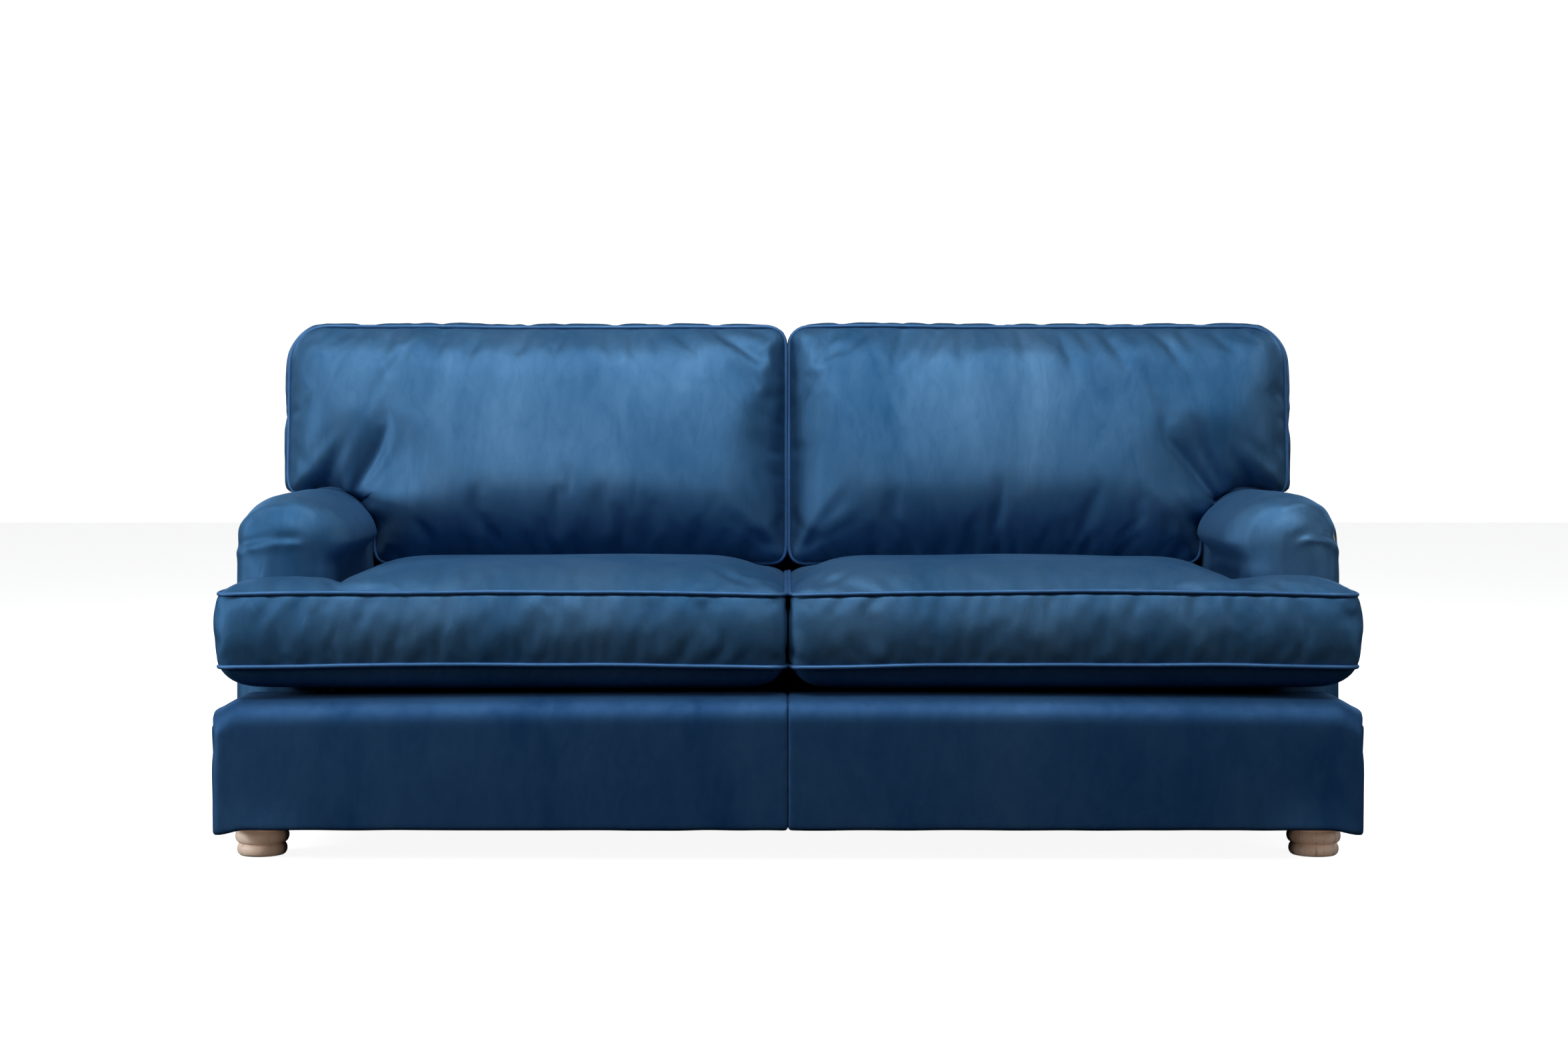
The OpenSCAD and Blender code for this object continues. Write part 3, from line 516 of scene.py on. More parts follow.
def arm(side, way, seed):
    """One upholstered arm, drawn for the right-hand side and turned over for the left."""
    low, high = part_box("arm_cover_right")
    rail_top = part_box("front_rail")[1].z
    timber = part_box("side_rails")[1].x
    half = (high.x - low.x) / 2
    middle_x, centre_z = high.x - half, high.z - half
    length = high.y - low.y
    bm = panel_block([(low.x, rail_top, high.x, high.z), (timber, low.z, high.x, rail_top)],
                     (0, length), ARM_PITCH)
    plan = points_of(bm)
    depth = plan[:, 2].copy()
    front_face = depth < 1e-6
    for corner_way in (-1, 1):
        round_corner(plan, (middle_x + corner_way * half, high.z), (corner_way, 1), half)
    x, z = plan[:, 0], plan[:, 1]
    stem_x, stem_z = np.full_like(x, middle_x), np.minimum(z, centre_z)
    reach = np.hypot(x - stem_x, z - stem_z)
    out_x = (x - stem_x) / np.maximum(reach, 1e-6)
    out_z = (z - stem_z) / np.maximum(reach, 1e-6)
    back = ARM_RIM + depth * (1 - ARM_RIM / length)
    rolled = ARM_EDGE - np.sqrt(ARM_EDGE ** 2 - np.clip(ARM_EDGE - back, 0, None) ** 2)
    drawn = np.where(front_face, reach * ARM_RIM / half, rolled)
    over = np.clip(reach - drawn - (half - ARM_EDGE), 0, ARM_EDGE)
    face_back = ARM_EDGE - np.sqrt(ARM_EDGE ** 2 - over ** 2) + 0.004 * (reach / half) ** 2
    back = np.where(front_face, face_back, back)
    x, z = x - out_x * drawn, z - out_z * drawn
    along = back / length
    y = low.y + back * (back_plane(z, 0.045) - low.y) / length
    swell = ease(back / 0.085) * (1 - ease((y - 0.045) / 0.075)) * ease((z - 0.512) / 0.045)
    x += out_x * 0.034 * swell * (out_x < 0)
    z += np.where(z > centre_z, (z - centre_z) / half * 0.003 * (1 - along), 0)
    shape = np.column_stack([x, y, z])
    normal = normals_of(bm, shape)
    fade = ease((z - 0.30) / 0.08)
    slack = 0.0026 * random_field(shape * (1, 0.8, 1), 9.0, seed) + 0.0012 * random_field(shape, 24.0, seed)
    swell_front = 0.0035 * front_face * (1 - (reach / half) ** 2)
    shape += normal * (fade * slack * (back > 0.002) + swell_front)[:, None]
    for crest_x, crest_z, fall_out, fall_in, start in ARM_PLEATS[side]:
        run = shape[:, 0] - crest_x
        line = crest_z - np.where(run > 0, fall_out, fall_in) * run ** 2
        above = (shape[:, 2] - line) / np.sqrt(1 + (2 * fall_out * np.clip(run, 0, None)) ** 2)
        shown = ease((shape[:, 0] - start) / 0.03) * (1 - ease((back - 0.035) / 0.06))
        groove = 0.0050 * np.exp(-(above / 0.0055) ** 2) - 0.0032 * np.exp(-((above - 0.013) / 0.009) ** 2)
        shape -= normal * (groove * shown)[:, None]
    shape[:, 0] = np.clip(shape[:, 0], None, high.x + 0.003)
    shape[:, 0] *= way
    piece = finished_piece(f"arm_{side}_upholstered", bm, shape, velvet_fixed, "frame",
                           [f"arm_cover_{side}", f"arm_pad_{side}"])


arm("left", -1, 3)
arm("right", 1, 4)


# ---- Front border ----
# Two velvet panels sewn together at the middle of the sofa, with a row of stitches on each side of the
# seam, and drawn over a padded edge, down the front rail and under it. Its velvet is a darker copy of
# the sofa's, painted shade for its dim upright face. The corners curl where they are tacked beneath, and a
# return panel covers each end.
BORDER_PITCH = 0.010
BORDER_EDGE = 0.048
PUFF_DEPTH, PUFF_MIDDLE, PUFF_SPREAD = 0.0110, 0.175, 0.080
SEAM_HALF, SEAM_DIP = 0.012, 0.0035
STITCH_RISE, STITCH_COUNT, STITCH_LOWEST = 0.0085, 20, 0.075
STITCH_AWAY, STITCH_SIZE = 0.0022, (0.00045, 0.00045, 0.0026)


def border(side, way, seed):
    """One half of the border, from the centre seam to the sofa's side."""
    low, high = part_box("border_cover_right")
    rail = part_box("front_rail")
    bm = panel_block([(low.y, rail[1].z, high.y, high.z), (low.y, low.z, rail[0].y, rail[1].z)],
                     (0, high.x), BORDER_PITCH)
    plan = points_of(bm)
    end_cap = plan[:, 2] > high.x - 1e-6
    seam_cap = plan[:, 2] < 1e-6
    on_edge = np.minimum.reduce([plan[:, 0] - low.y, high.z - plan[:, 1]])
    round_corner(plan, (low.y, high.z), (-1, 1), BORDER_EDGE)
    y, z, x = plan[:, 0], plan[:, 1], plan[:, 2]
    corner = np.clip((x - high.x + 0.022) / 0.022, 0, 1)
    corner = np.where(end_cap, np.clip(1 - on_edge / 0.022, 0, 1), corner)
    bend = 1 - np.sqrt(1 - np.minimum(corner, 1) ** 2 * 0.75)
    shape = np.column_stack([x, y, z])
    normal = normals_of(bm, shape)
    front_side = normal[:, 1] < -0.2
    shape[:, 1] += np.where(front_side | end_cap, 0.012 * bend, 0)
    sag = 0.008 * np.clip(x / high.x, 0, 1) ** 2 + 0.020 * ease((x - high.x + 0.05) / 0.05) ** 1.5
    shape[:, 2] -= sag * ease((z - 0.16) / 0.10)
    ear = np.exp(-((shape[:, 2] - 0.262) / 0.012) ** 2) * ease((x - high.x + 0.030) / 0.030)
    shape[:, 0] += 0.0035 * ear - 0.0015 * ease((0.2 - z) / 0.14) * end_cap
    shape[:, 1] -= 0.002 * ear
    puff = PUFF_DEPTH * np.exp(-((z - PUFF_MIDDLE) / PUFF_SPREAD) ** 2)
    wave = 0.0022 * random_field(shape * (1, 1, 0.35), 8.0, seed)
    ruck = 0.0012 * random_field(shape * (1.4, 1, 0.5), 30.0, seed)
    near_seam = ease(np.abs(x) / SEAM_HALF)
    end_puff = 0.0045 * np.exp(-((z - 0.235) / 0.05) ** 2)
    full = np.where(front_side, puff, end_puff) + wave + ruck
    shape += normal * (full * near_seam * (front_side | end_cap) * ~seam_cap)[:, None]
    shape[:, 1] += SEAM_DIP * (1 - near_seam) * front_side
    curl = ease((0.085 - z) / 0.03) * ease((x - high.x + 0.06) / 0.05)
    shape[:, 2] -= 0.010 * curl
    shape[:, 1] += 0.005 * curl * front_side
    hem = ease((0.070 - z) / 0.012) * (1 - curl)
    shape[:, 2] += 0.0012 * (random_field(shape, 14.0, seed + 5) - 1) * hem
    shape[:, 0] *= way
    piece = finished_piece(f"front_border_{side}", bm, shape, velvet_shaded_border, "frame",
                           [f"border_cover_{side}"] + (["front_border_pad"] if way > 0 else []))
    bm = panel_block([(rail[0].y - 0.006, low.z, high.y + 0.055, rail[1].z + 0.006)],
                     (rail[1].x + 0.0004, high.x), BORDER_PITCH)
    shape = points_of(bm)[:, [2, 0, 1]]
    outer = shape[:, 0] > high.x - 1e-6
    out = 0.0035 * np.exp(-((shape[:, 2] - 0.235) / 0.05) ** 2) + 0.0012 * random_field(shape, 9.0, seed + 2)
    under_arm = 0.0045 * ease((shape[:, 1] - high.y - 0.006) / 0.05)
    shape[:, 0] += (out - 0.0010 - under_arm) * outer
    shape[:, 0] *= way
    finished_piece(f"border_return_{side}", bm, shape, velvet_shaded_border, "frame", [])


# A darker copy of the sofa's velvet: painted shade for the border's dim front face.
velvet_shaded_border = velvet("velvet_shaded_border", 8, (0.005, 0.036, 0.112), (0.044, 0.115, 0.240))
border("left", -1, 5)
border("right", 1, 6)
stitch_bm = bmesh.new()
border_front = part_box("border_cover_right")[0].y
in_seam = 1 - ease(STITCH_AWAY / SEAM_HALF)
for count in range(STITCH_COUNT):
    at_z = STITCH_LOWEST + count * STITCH_RISE
    bulge = PUFF_DEPTH * math.exp(-((at_z - PUFF_MIDDLE) / PUFF_SPREAD) ** 2)
    stitch_y = border_front - bulge * (1 - in_seam) + SEAM_DIP * in_seam - 0.0004
    for across in (-STITCH_AWAY, STITCH_AWAY):
        made = bmesh.ops.create_icosphere(stitch_bm, subdivisions=1, radius=1)["verts"]
        bmesh.ops.scale(stitch_bm, verts=made, vec=STITCH_SIZE)
        bmesh.ops.translate(stitch_bm, verts=made, vec=(across, stitch_y, at_z))
finished_piece("border_stitches", stitch_bm, points_of(stitch_bm), velvet_piping, "frame", [], 0)


# ---- Outside back ----
# One tray of velvet over a thin pad and the hardboard: it covers the whole back, turns round the
# sides and the top to meet the arms and the inside back, and is blind-stitched all round.
out_low, out_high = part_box("outside_back_cover")
tray_bm = bmesh.new()
out_columns = round((out_high.x - out_low.x) / BLOCK_PITCH)
out_rows = round((out_high.z - out_low.z) / BLOCK_PITCH)
bmesh.ops.create_grid(tray_bm, x_segments=out_columns, y_segments=out_rows, size=0.5)
for v in tray_bm.verts:
    v.co = ((out_high.x - out_low.x) * v.co.x, out_low.z + (out_high.z - out_low.z) * (v.co.y + 0.5), 0)
tray_edge = [e for e in tray_bm.edges if e.is_boundary and max(v.co.y for v in e.verts) > out_low.z + 1e-6]
for step in range(6):
    grown = bmesh.ops.extrude_edge_only(tray_bm, edges=tray_edge)["geom"]
    fresh = {g for g in grown if isinstance(g, bmesh.types.BMVert)}
    bmesh.ops.translate(tray_bm, verts=list(fresh), vec=(0, 0, 0.077 / 6))
    tray_edge = [g for g in grown if isinstance(g, bmesh.types.BMEdge) and set(g.verts) <= fresh]
tray = points_of(tray_bm)
for way in (-1, 1):
    round_corner(tray, (way * out_high.x, out_high.z), (way, 1), 0.08)
from_rim = np.minimum(out_high.x - np.abs(tray[:, 0]), out_high.z - tray[:, 1])
turned = tray[:, 2] > 1e-6
shorter = 1 - (27 / 77) * (1 - ease((tray[:, 1] - arm_top + 0.085) / 0.03))
tray_depth = np.where(turned, tray[:, 2] * shorter, 0.006 * (1 - np.clip(from_rim / 0.014, 0, 1)) ** 2)
tray_wave = 0.0016 * (1 + random_field(tray, 6.0, 7)) * np.clip(from_rim / 0.05, 0, 1)
seam_dip = 0.0022 * np.exp(-(tray[:, 0] / 0.005) ** 2) * (from_rim > 0.02)
tray_y = back_plane(tray[:, 1], -0.0048) - tray_depth + 0.0014 + tray_wave - seam_dip
tray = np.column_stack([tray[:, 0], tray_y, tray[:, 1]])
bmesh.ops.recalc_face_normals(tray_bm, faces=tray_bm.faces)
outside_piece = finished_piece("outside_back", tray_bm, tray, velvet_fixed, "frame",
                               ["outside_back_cover", "back_edge_pad"])
thick = outside_piece.modifiers.new("cloth_thickness", "SOLIDIFY")
thick.thickness = 0.002
thick.offset = 1 if outside_piece.data.polygons[0].normal.y < 0 else -1


# ---- Dust cover and feet ----
# Black spun cloth stapled under the frame; limed bun feet turned in two beads with a groove between
# them, on hanger bolts, with moulded glides.
def spun_cloth():
    """Spun-bonded cloth: felted fibres with a point bond every few millimetres."""
    material, shader, place = new_finish("spun_dust_cloth")
    felt = cloud(place, 420.0, 4.0, 0.7)
    bond = place.node("ShaderNodeTexVoronoi", (), {"Vector": place, "Scale": 380.0})
    blend_colour(felt, (0.008, 0.008, 0.009), (0.030, 0.030, 0.033)).feed(shader, "Base Color")
    (0.85 + 0.12 * (felt - 0.5)).feed(shader, "Roughness")
    raised(shader, felt + bond, 0.0002)
    return material


dress("dust_cover", spun_cloth())


def limed_wood():
    """Pale open-grained limed wood with darker pores."""
    material, shader, place = new_finish("limed_wood")
    grain = cloud(stretched(place, (1, 1, 0.06)), 90.0, 5.0, 0.6, 0.4)
    figure = cloud(stretched(place, (1, 1, 0.15)), 14.0, 3.0, 0.5, 0.8)
    pale = blend_colour(figure, (0.78, 0.60, 0.49), (0.95, 0.78, 0.65))
    pores = grain.node("ShaderNodeValToRGB", {"stops": [(0.30, (0, 0, 0)), (0.46, (1, 1, 1))]}, {0: grain})
    blend_colour(pores, (0.50, 0.34, 0.26), pale).feed(shader, "Base Color")
    (0.42 + 0.25 * (grain - 0.5)).feed(shader, "Roughness")
    raised(shader, grain, 0.00025)
    return material


foot_finish = limed_wood()
moulded, moulded_shader, moulded_place = new_finish("moulded_glide")
speck = cloud(moulded_place, 300.0, 3.0)
blend_colour(speck, (0.45, 0.45, 0.44), (0.58, 0.58, 0.57)).feed(moulded_shader, "Base Color")
(0.45 + 0.15 * speck).feed(moulded_shader, "Roughness")
raised(moulded_shader, speck, 0.00005)
dress("foot_glides", moulded)


def bead(radius, low, height, swell=0.005, steps=9):
    """The profile of one turned bead, from its lower groove to its upper one."""
    points = []
    for i in range(steps + 1):
        t = i / steps
        arc = 1 - (2 * t - 1) ** 2
        points.append((radius - swell + swell * arc ** 0.7, low + height * t))
    return points


def foot(node):
    """A foot turned on the lathe, with the recess for its glide and the hole for its bolt."""
    low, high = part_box(node)
    cx, cy = (low.x + high.x) / 2, (low.y + high.y) / 2
    bottom = low.z
    profile = [(0.0, 0.0125), (0.0014, 0.0125), (0.0014, 0.0032), (0.0122, 0.0032), (0.0122, bottom)]
    profile += bead(0.0445, bottom, 0.021)
    profile += [(0.0385, bottom + 0.0212), (0.0385, bottom + 0.0222)]
    profile += bead(0.048, bottom + 0.0225, 0.0225)
    profile += [(0.0425, bottom + 0.0453), (0.0425, bottom + 0.0463), (0.0452, 0.0490), (0.0460, 0.0520)]
    profile += [(0.0460, 0.0598), (0.0041, 0.0598), (0.0041, 0.0275), (0.0, 0.0275)]
    bm = bmesh.new()
    ring = [bm.verts.new((r, 0, z)) for r, z in profile]
    edges = [bm.edges.new(pair) for pair in zip(ring, ring[1:])]
    bmesh.ops.spin(bm, geom=ring + edges, cent=(0, 0, 0), axis=(0, 0, 1), angle=math.tau, steps=72,
                   use_merge=True)
    bmesh.ops.remove_doubles(bm, verts=bm.verts, dist=1e-6)
    bmesh.ops.translate(bm, verts=bm.verts, vec=(cx, cy, 0))
    shape = points_of(bm)
    piece = finished_piece(f"turned_{node}", bm, shape, foot_finish, "frame", [node], 0)
    crisp = piece.modifiers.new("crisp_edges", "EDGE_SPLIT")
    crisp.split_angle = math.radians(50)


for node in ("foot_front_left", "foot_front_right", "foot_back_left", "foot_back_right"):
    foot(node)


# ---- Seat cushions ----
# Loose T-shaped seats: a foam core wrapped in fibre in a boxed velvet case, piped along both seams,
# wider in front of the arms. They lie flat on the deck and are crowned on top.
PIPING = 0.004
CASE_PITCH = 0.012


def edge_distance(points, outline):
    """A rounded-off distance from each point to the nearest sides of an outline."""
    total = np.zeros(len(points))
    for (ax, ay), (bx, by) in zip(outline, outline[1:] + outline[:1]):
        dx, dy = bx - ax, by - ay
        share = ((points[:, 0] - ax) * dx + (points[:, 1] - ay) * dy) / (dx * dx + dy * dy)
        share = np.clip(share, 0, 1)
        gap = np.hypot(points[:, 0] - ax - share * dx, points[:, 1] - ay - share * dy)
        total += np.maximum(gap, 1e-6) ** -3.0
    return total ** (-1 / 3)


def crowned(distance, width, power=2.3):
    """Rises steeply from a seam and levels out at a width."""
    return 1 - (1 - np.clip(distance / width, 0, 1)) ** power


def fold_of(points, start, end, width, depth):
    """A fold in the cloth from start to end: a groove with a soft ridge on one side."""
    run = Vector(end) - Vector(start)
    dx, dy = run.normalized()
    px, py = points[:, 0] - start[0], points[:, 1] - start[1]
    t = (px * dx + py * dy) / run.length
    side = py * dx - px * dy
    shown = ease(t / 0.25) * (1 - ease((t - 0.45) / 0.55)) * (t > 0) * (t < 1)
    return shown * depth * (0.7 * np.exp(-((side - 1.5 * width) / (1.3 * width)) ** 2)
                            - np.exp(-(side / width) ** 2))


def seam_loop(bm, on_seam):
    """The points of one seam, in order round the case."""
    links = {}
    for edge in bm.edges:
        a, b = (v.index for v in edge.verts)
        if on_seam[a] and on_seam[b]:
            links.setdefault(a, []).append(b)
            links.setdefault(b, []).append(a)
    first = min(links)
    loop, last, here = [first], None, first
    while True:
        onward = [n for n in links[here] if n != last]
        last, here = here, onward[0]
        if here == first:
            return loop
        loop.append(here)


def stuff(cases, pressure=4.0, spare_cloth=0.03, frames=20):
    """Fills the sewn cases by a short cloth simulation of all of them, with their seams held."""
    scene = bpy.context.scene
    for piece, held, most in cases:
        group = piece.vertex_groups.new(name="held")
        for index in np.flatnonzero(held > 0):
            group.add([int(index)], float(held[index]), "REPLACE")
        cloth = piece.modifiers.new("stuffing", "CLOTH")
        cloth.settings.quality = 4
        cloth.settings.mass = 0.25
        cloth.settings.tension_stiffness = cloth.settings.compression_stiffness = 12
        cloth.settings.shear_stiffness = 4
        cloth.settings.bending_stiffness = 0.6
        cloth.settings.use_pressure = True
        cloth.settings.uniform_pressure_force = pressure
        cloth.settings.shrink_min = -spare_cloth
        cloth.settings.vertex_group_mass = "held"
        cloth.settings.pin_stiffness = 8
        cloth.settings.effector_weights.gravity = 0
        cloth.collision_settings.use_collision = False
        cloth.point_cache.frame_start, cloth.point_cache.frame_end = 1, frames
    for step in range(1, frames + 1):
        scene.frame_set(step)
    graph = bpy.context.evaluated_depsgraph_get()
    for piece, held, most in cases:
        filled = piece.evaluated_get(graph).data
        after = np.zeros(len(filled.vertices) * 3)
        filled.vertices.foreach_get("co", after)
        before = np.zeros(len(piece.data.vertices) * 3)
        piece.data.vertices.foreach_get("co", before)
        before, after = before.reshape(-1, 3), after.reshape(-1, 3)
        move = after - before
        length = np.maximum(np.linalg.norm(move, axis=1), 1e-9)
        move *= (most * np.tanh(length / most) / length)[:, None]
        piece.modifiers.remove(piece.modifiers["stuffing"])
        piece.vertex_groups.clear()
        piece.data.vertices.foreach_set("co", (before + move).ravel())
        piece.data.update()
    scene.frame_set(1)


def case_points(piece):
    """The points of a made case."""
    flat = np.zeros(len(piece.data.vertices) * 3)
    piece.data.vertices.foreach_get("co", flat)
    return flat.reshape(-1, 3)


def sew_piping(name, piece, loops, body, nodes, seed):
    """Round cords in bias-cut velvet along the seams of a case, in a lighter copy of the velvet with its
    highlight painted in.
    """
    points = case_points(piece)
    normals = np.zeros(len(points) * 3)
    piece.data.vertices.foreach_get("normal", normals)
    normals = normals.reshape(-1, 3)
    cord = bpy.data.curves.new(name, "CURVE")
    cord.dimensions = "3D"
    cord.bevel_depth = 1
    cord.bevel_resolution = 3
    for loop in loops:
        line = points[loop] + normals[loop] * 0.0012
        for _ in range(2):
            line = (np.roll(line, 1, 0) + 2 * line + np.roll(line, -1, 0)) / 4
        spline = cord.splines.new("POLY")
        spline.points.add(len(line) - 1)
        spline.use_cyclic_u = True
        thick = PIPING * (1 + 0.05 * random_field(line, 60.0, seed))
        for knot, place, radius in zip(spline.points, line, thick):
            knot.co = (*place, 1)
            knot.radius = radius
    drawn = bpy.data.objects.new(name + "_line", cord)
    bpy.context.scene.collection.objects.link(drawn)
    graph = bpy.context.evaluated_depsgraph_get()
    mesh = bpy.data.meshes.new_from_object(drawn.evaluated_get(graph))
    bpy.data.objects.remove(drawn)
    bpy.data.curves.remove(cord)
    bm = bmesh.new()
    bm.from_mesh(mesh)
    bpy.data.meshes.remove(mesh)
    bmesh.ops.remove_doubles(bm, verts=bm.verts, dist=1e-6)
    return finished_piece(name, bm, points_of(bm), velvet_piping, body, nodes, 0)


velvet_seats = velvet("velvet_seats", 2, streak=(1.0, 0.6, 0.5))
seam_low, seam_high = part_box("seat_piping_right")
seat_seams = (seam_low.z + PIPING, seam_high.z - PIPING)
seat_inner, seat_wing = seam_low.x + PIPING, seam_high.x - PIPING
seat_front, seat_rear = seam_low.y + PIPING, seam_high.y - PIPING
arm_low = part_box("arm_cover_right")[0]
beside = 0.005
seat_outer, wing_rear = arm_low.x - beside, arm_low.y - beside
seat_cover_low, seat_cover_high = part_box("seat_cover_right")
seat_outline = [(seat_inner, seat_front), (seat_wing, seat_front), (seat_wing, wing_rear),
                (seat_outer, wing_rear), (seat_outer, seat_rear), (seat_inner, seat_rear)]
seat_rise = seat_cover_high.z - seat_seams[1]
seat_drop = seat_seams[0] - seat_cover_low.z
SLOPE_RUN = 0.42


def seat_limit(y):
    """The highest that a seat may reach, which falls towards the back cushions."""
    back_share = np.clip((y - seat_rear + SLOPE_RUN) / SLOPE_RUN, 0, 1)
    return seat_seams[1] + seat_rise * (1 - back_share)


def seat_case(side, way, seed, folds):
    """The sewn case of one seat, before it is filled: its piece, what is held, and its two seams."""
    rects = [(seat_inner, seat_front, seat_outer, seat_rear), (seat_outer, seat_front, seat_wing, wing_rear)]
    bm = panel_block(rects, seat_seams, CASE_PITCH)
    flat = points_of(bm)
    distance = edge_distance(flat, seat_outline)
    top, under = flat[:, 2] > seat_seams[1] - 1e-6, flat[:, 2] < seat_seams[0] + 1e-6
    rim = distance < 1e-4
    shape = flat.copy()
    for corner, ways in (((seat_inner, seat_front), (-1, -1)), ((seat_wing, seat_front), (1, -1)),
                         ((seat_wing, wing_rear), (1, 1)), ((seat_outer, seat_rear), (1, 1)),
                         ((seat_inner, seat_rear), (-1, 1))):
        round_corner(shape, corner, ways, 0.024)
    normal = normals_of(bm, shape)
    share = (flat[:, 2] - seat_seams[0]) / (seat_seams[1] - seat_seams[0])
    facing_front, facing_out = normal[:, 1] < -0.5, (normal[:, 0] > 0.5) & (flat[:, 0] > seat_outer + 0.01)
    most_bulge = np.where(facing_front, 0.0075, np.where(facing_out, 0.006, 0.0015))
    bulge = most_bulge * (1 - (2 * share - 1) ** 2) * rim
    shape[:, 0] += normal[:, 0] * bulge
    shape[:, 1] += normal[:, 1] * bulge
    crown = (seat_limit(flat[:, 1]) - seat_seams[1]) * crowned(distance, 0.15)
    lumps = 0.004 * random_field(flat, 4.0, seed) * crowned(distance, 0.2)
    pressed = sum(fold_of(flat, *fold) for fold in folds)
    shape[:, 2] += np.where(top, crown + (lumps + pressed) * ~rim - 0.002 * crowned(distance, 0.1), 0)
    shape[:, 2] -= np.where(under, seat_drop * crowned(distance, 0.075, 3.0), 0)
    wander = 0.0022 * random_field(flat * (1, 1, 3), 5.0, seed + 3)
    rise = 0.005 * np.sin(np.clip((flat[:, 0] - seat_inner) / (seat_wing - seat_inner), 0, 1) * math.pi)
    front_part = ease((-0.2 - flat[:, 1]) / 0.15)
    shape[:, 2] += np.where(rim, wander + rise * front_part, 0)
    loops = [seam_loop(bm, rim & top), seam_loop(bm, rim & under)]
    shape[:, 0] *= way
    piece = finished_piece(f"seat_cushion_{side}", bm, shape, velvet_seats, f"seat_cushion_{side}",
                           [f"seat_cover_{side}", f"seat_core_{side}"], 0)
    held = np.where(rim & (top | under), 1.0, np.where(under, 0.6, 0.0))
    return piece, held, loops


def settle_seat(piece, way):
    """Keeps a filled seat off the deck, off its neighbours and under the back cushions."""
    points = case_points(piece)
    points[:, 0] *= way
    points[:, 0] = np.maximum(points[:, 0], 0.0012)
    beside_arm = points[:, 1] > wing_rear + 0.02
    points[:, 0] = np.where(beside_arm, np.minimum(points[:, 0], arm_low.x - 0.0015), points[:, 0])
    points[:, 1] = np.minimum(points[:, 1], seat_rear + 0.001)
    in_wing = points[:, 0] > arm_low.x - 0.002
    points[:, 1] = np.where(in_wing, np.minimum(points[:, 1], arm_low.y - 0.002), points[:, 1])
    under_back = points[:, 1] > 0.06
    points[:, 2] = np.where(under_back, np.minimum(points[:, 2], seat_limit(points[:, 1])), points[:, 2])
    points[:, 2] = np.clip(points[:, 2], seat_cover_low.z, seat_cover_high.z + 0.012)
    points[:, 0] *= way
    piece.data.vertices.foreach_set("co", points.ravel())
    piece.data.update()


seat_folds = {
    "left": [((0.98, -0.42), (0.80, -0.30), 0.012, 0.004), ((0.05, -0.45), (0.22, -0.30), 0.012, 0.003),
             ((0.62, -0.46), (0.60, -0.33), 0.010, 0.003)],
    "right": [((0.99, -0.40), (0.78, -0.36), 0.011, 0.006), ((0.99, -0.44), (0.84, -0.40), 0.009, 0.005),
              ((0.98, -0.35), (0.86, -0.32), 0.010, 0.004), ((0.04, -0.45), (0.16, -0.34), 0.012, 0.003)],
}
seats = {}
for side, way, seed in (("left", -1, 11), ("right", 1, 23)):
    seats[side] = (way, seed, *seat_case(side, way, seed, seat_folds[side]))
stuff([(piece, held, 0.011) for way, seed, piece, held, loops in seats.values()])
for side, (way, seed, piece, held, loops) in seats.items():
    settle_seat(piece, way)
    surface = piece.modifiers.new("surface", "SUBSURF")
    surface.levels = surface.render_levels = 1
    sew_piping(f"seat_cord_{side}", piece, loops, f"seat_cushion_{side}",
               [f"seat_piping_{side}"], seed)


# ---- Back cushions ----
# Loose boxed backs, softer than the seats: fibre and feather in a piped velvet case with an ear over
# the arm. They lean on the inside back, belly out low down and are creased where they are tucked in.
velvet_backs = velvet("velvet_backs", 4, streak=(1.0, 1.0, 0.30))
cord_low, cord_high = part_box("back_piping_right")
back_seams = (0.030, 0.157)
case_z = cord_low.z + PIPING - back_seams[0] * math.sin(LEAN)
case_y = back_plane(case_z, 0.076)
case_top = (cord_high.z - PIPING - case_z - back_seams[1] * math.sin(LEAN)) / math.cos(LEAN)
ear_low = (arm_top + beside - case_z) / math.cos(LEAN)
ear_out = cord_high.x - PIPING
back_inner = cord_low.x + PIPING
back_outline = [(back_inner, 0), (seat_outer, 0), (seat_outer, ear_low), (ear_out, ear_low),
                (ear_out, case_top), (back_inner, case_top)]
BACK_CROWN = 0.100
BELLY = 0.28
TUCK, TUCK_REACH = 0.036, 0.085
EAR_SAG = 0.014
arm_roll = (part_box("arm_cover_right")[1].x - arm_low.x) / 2


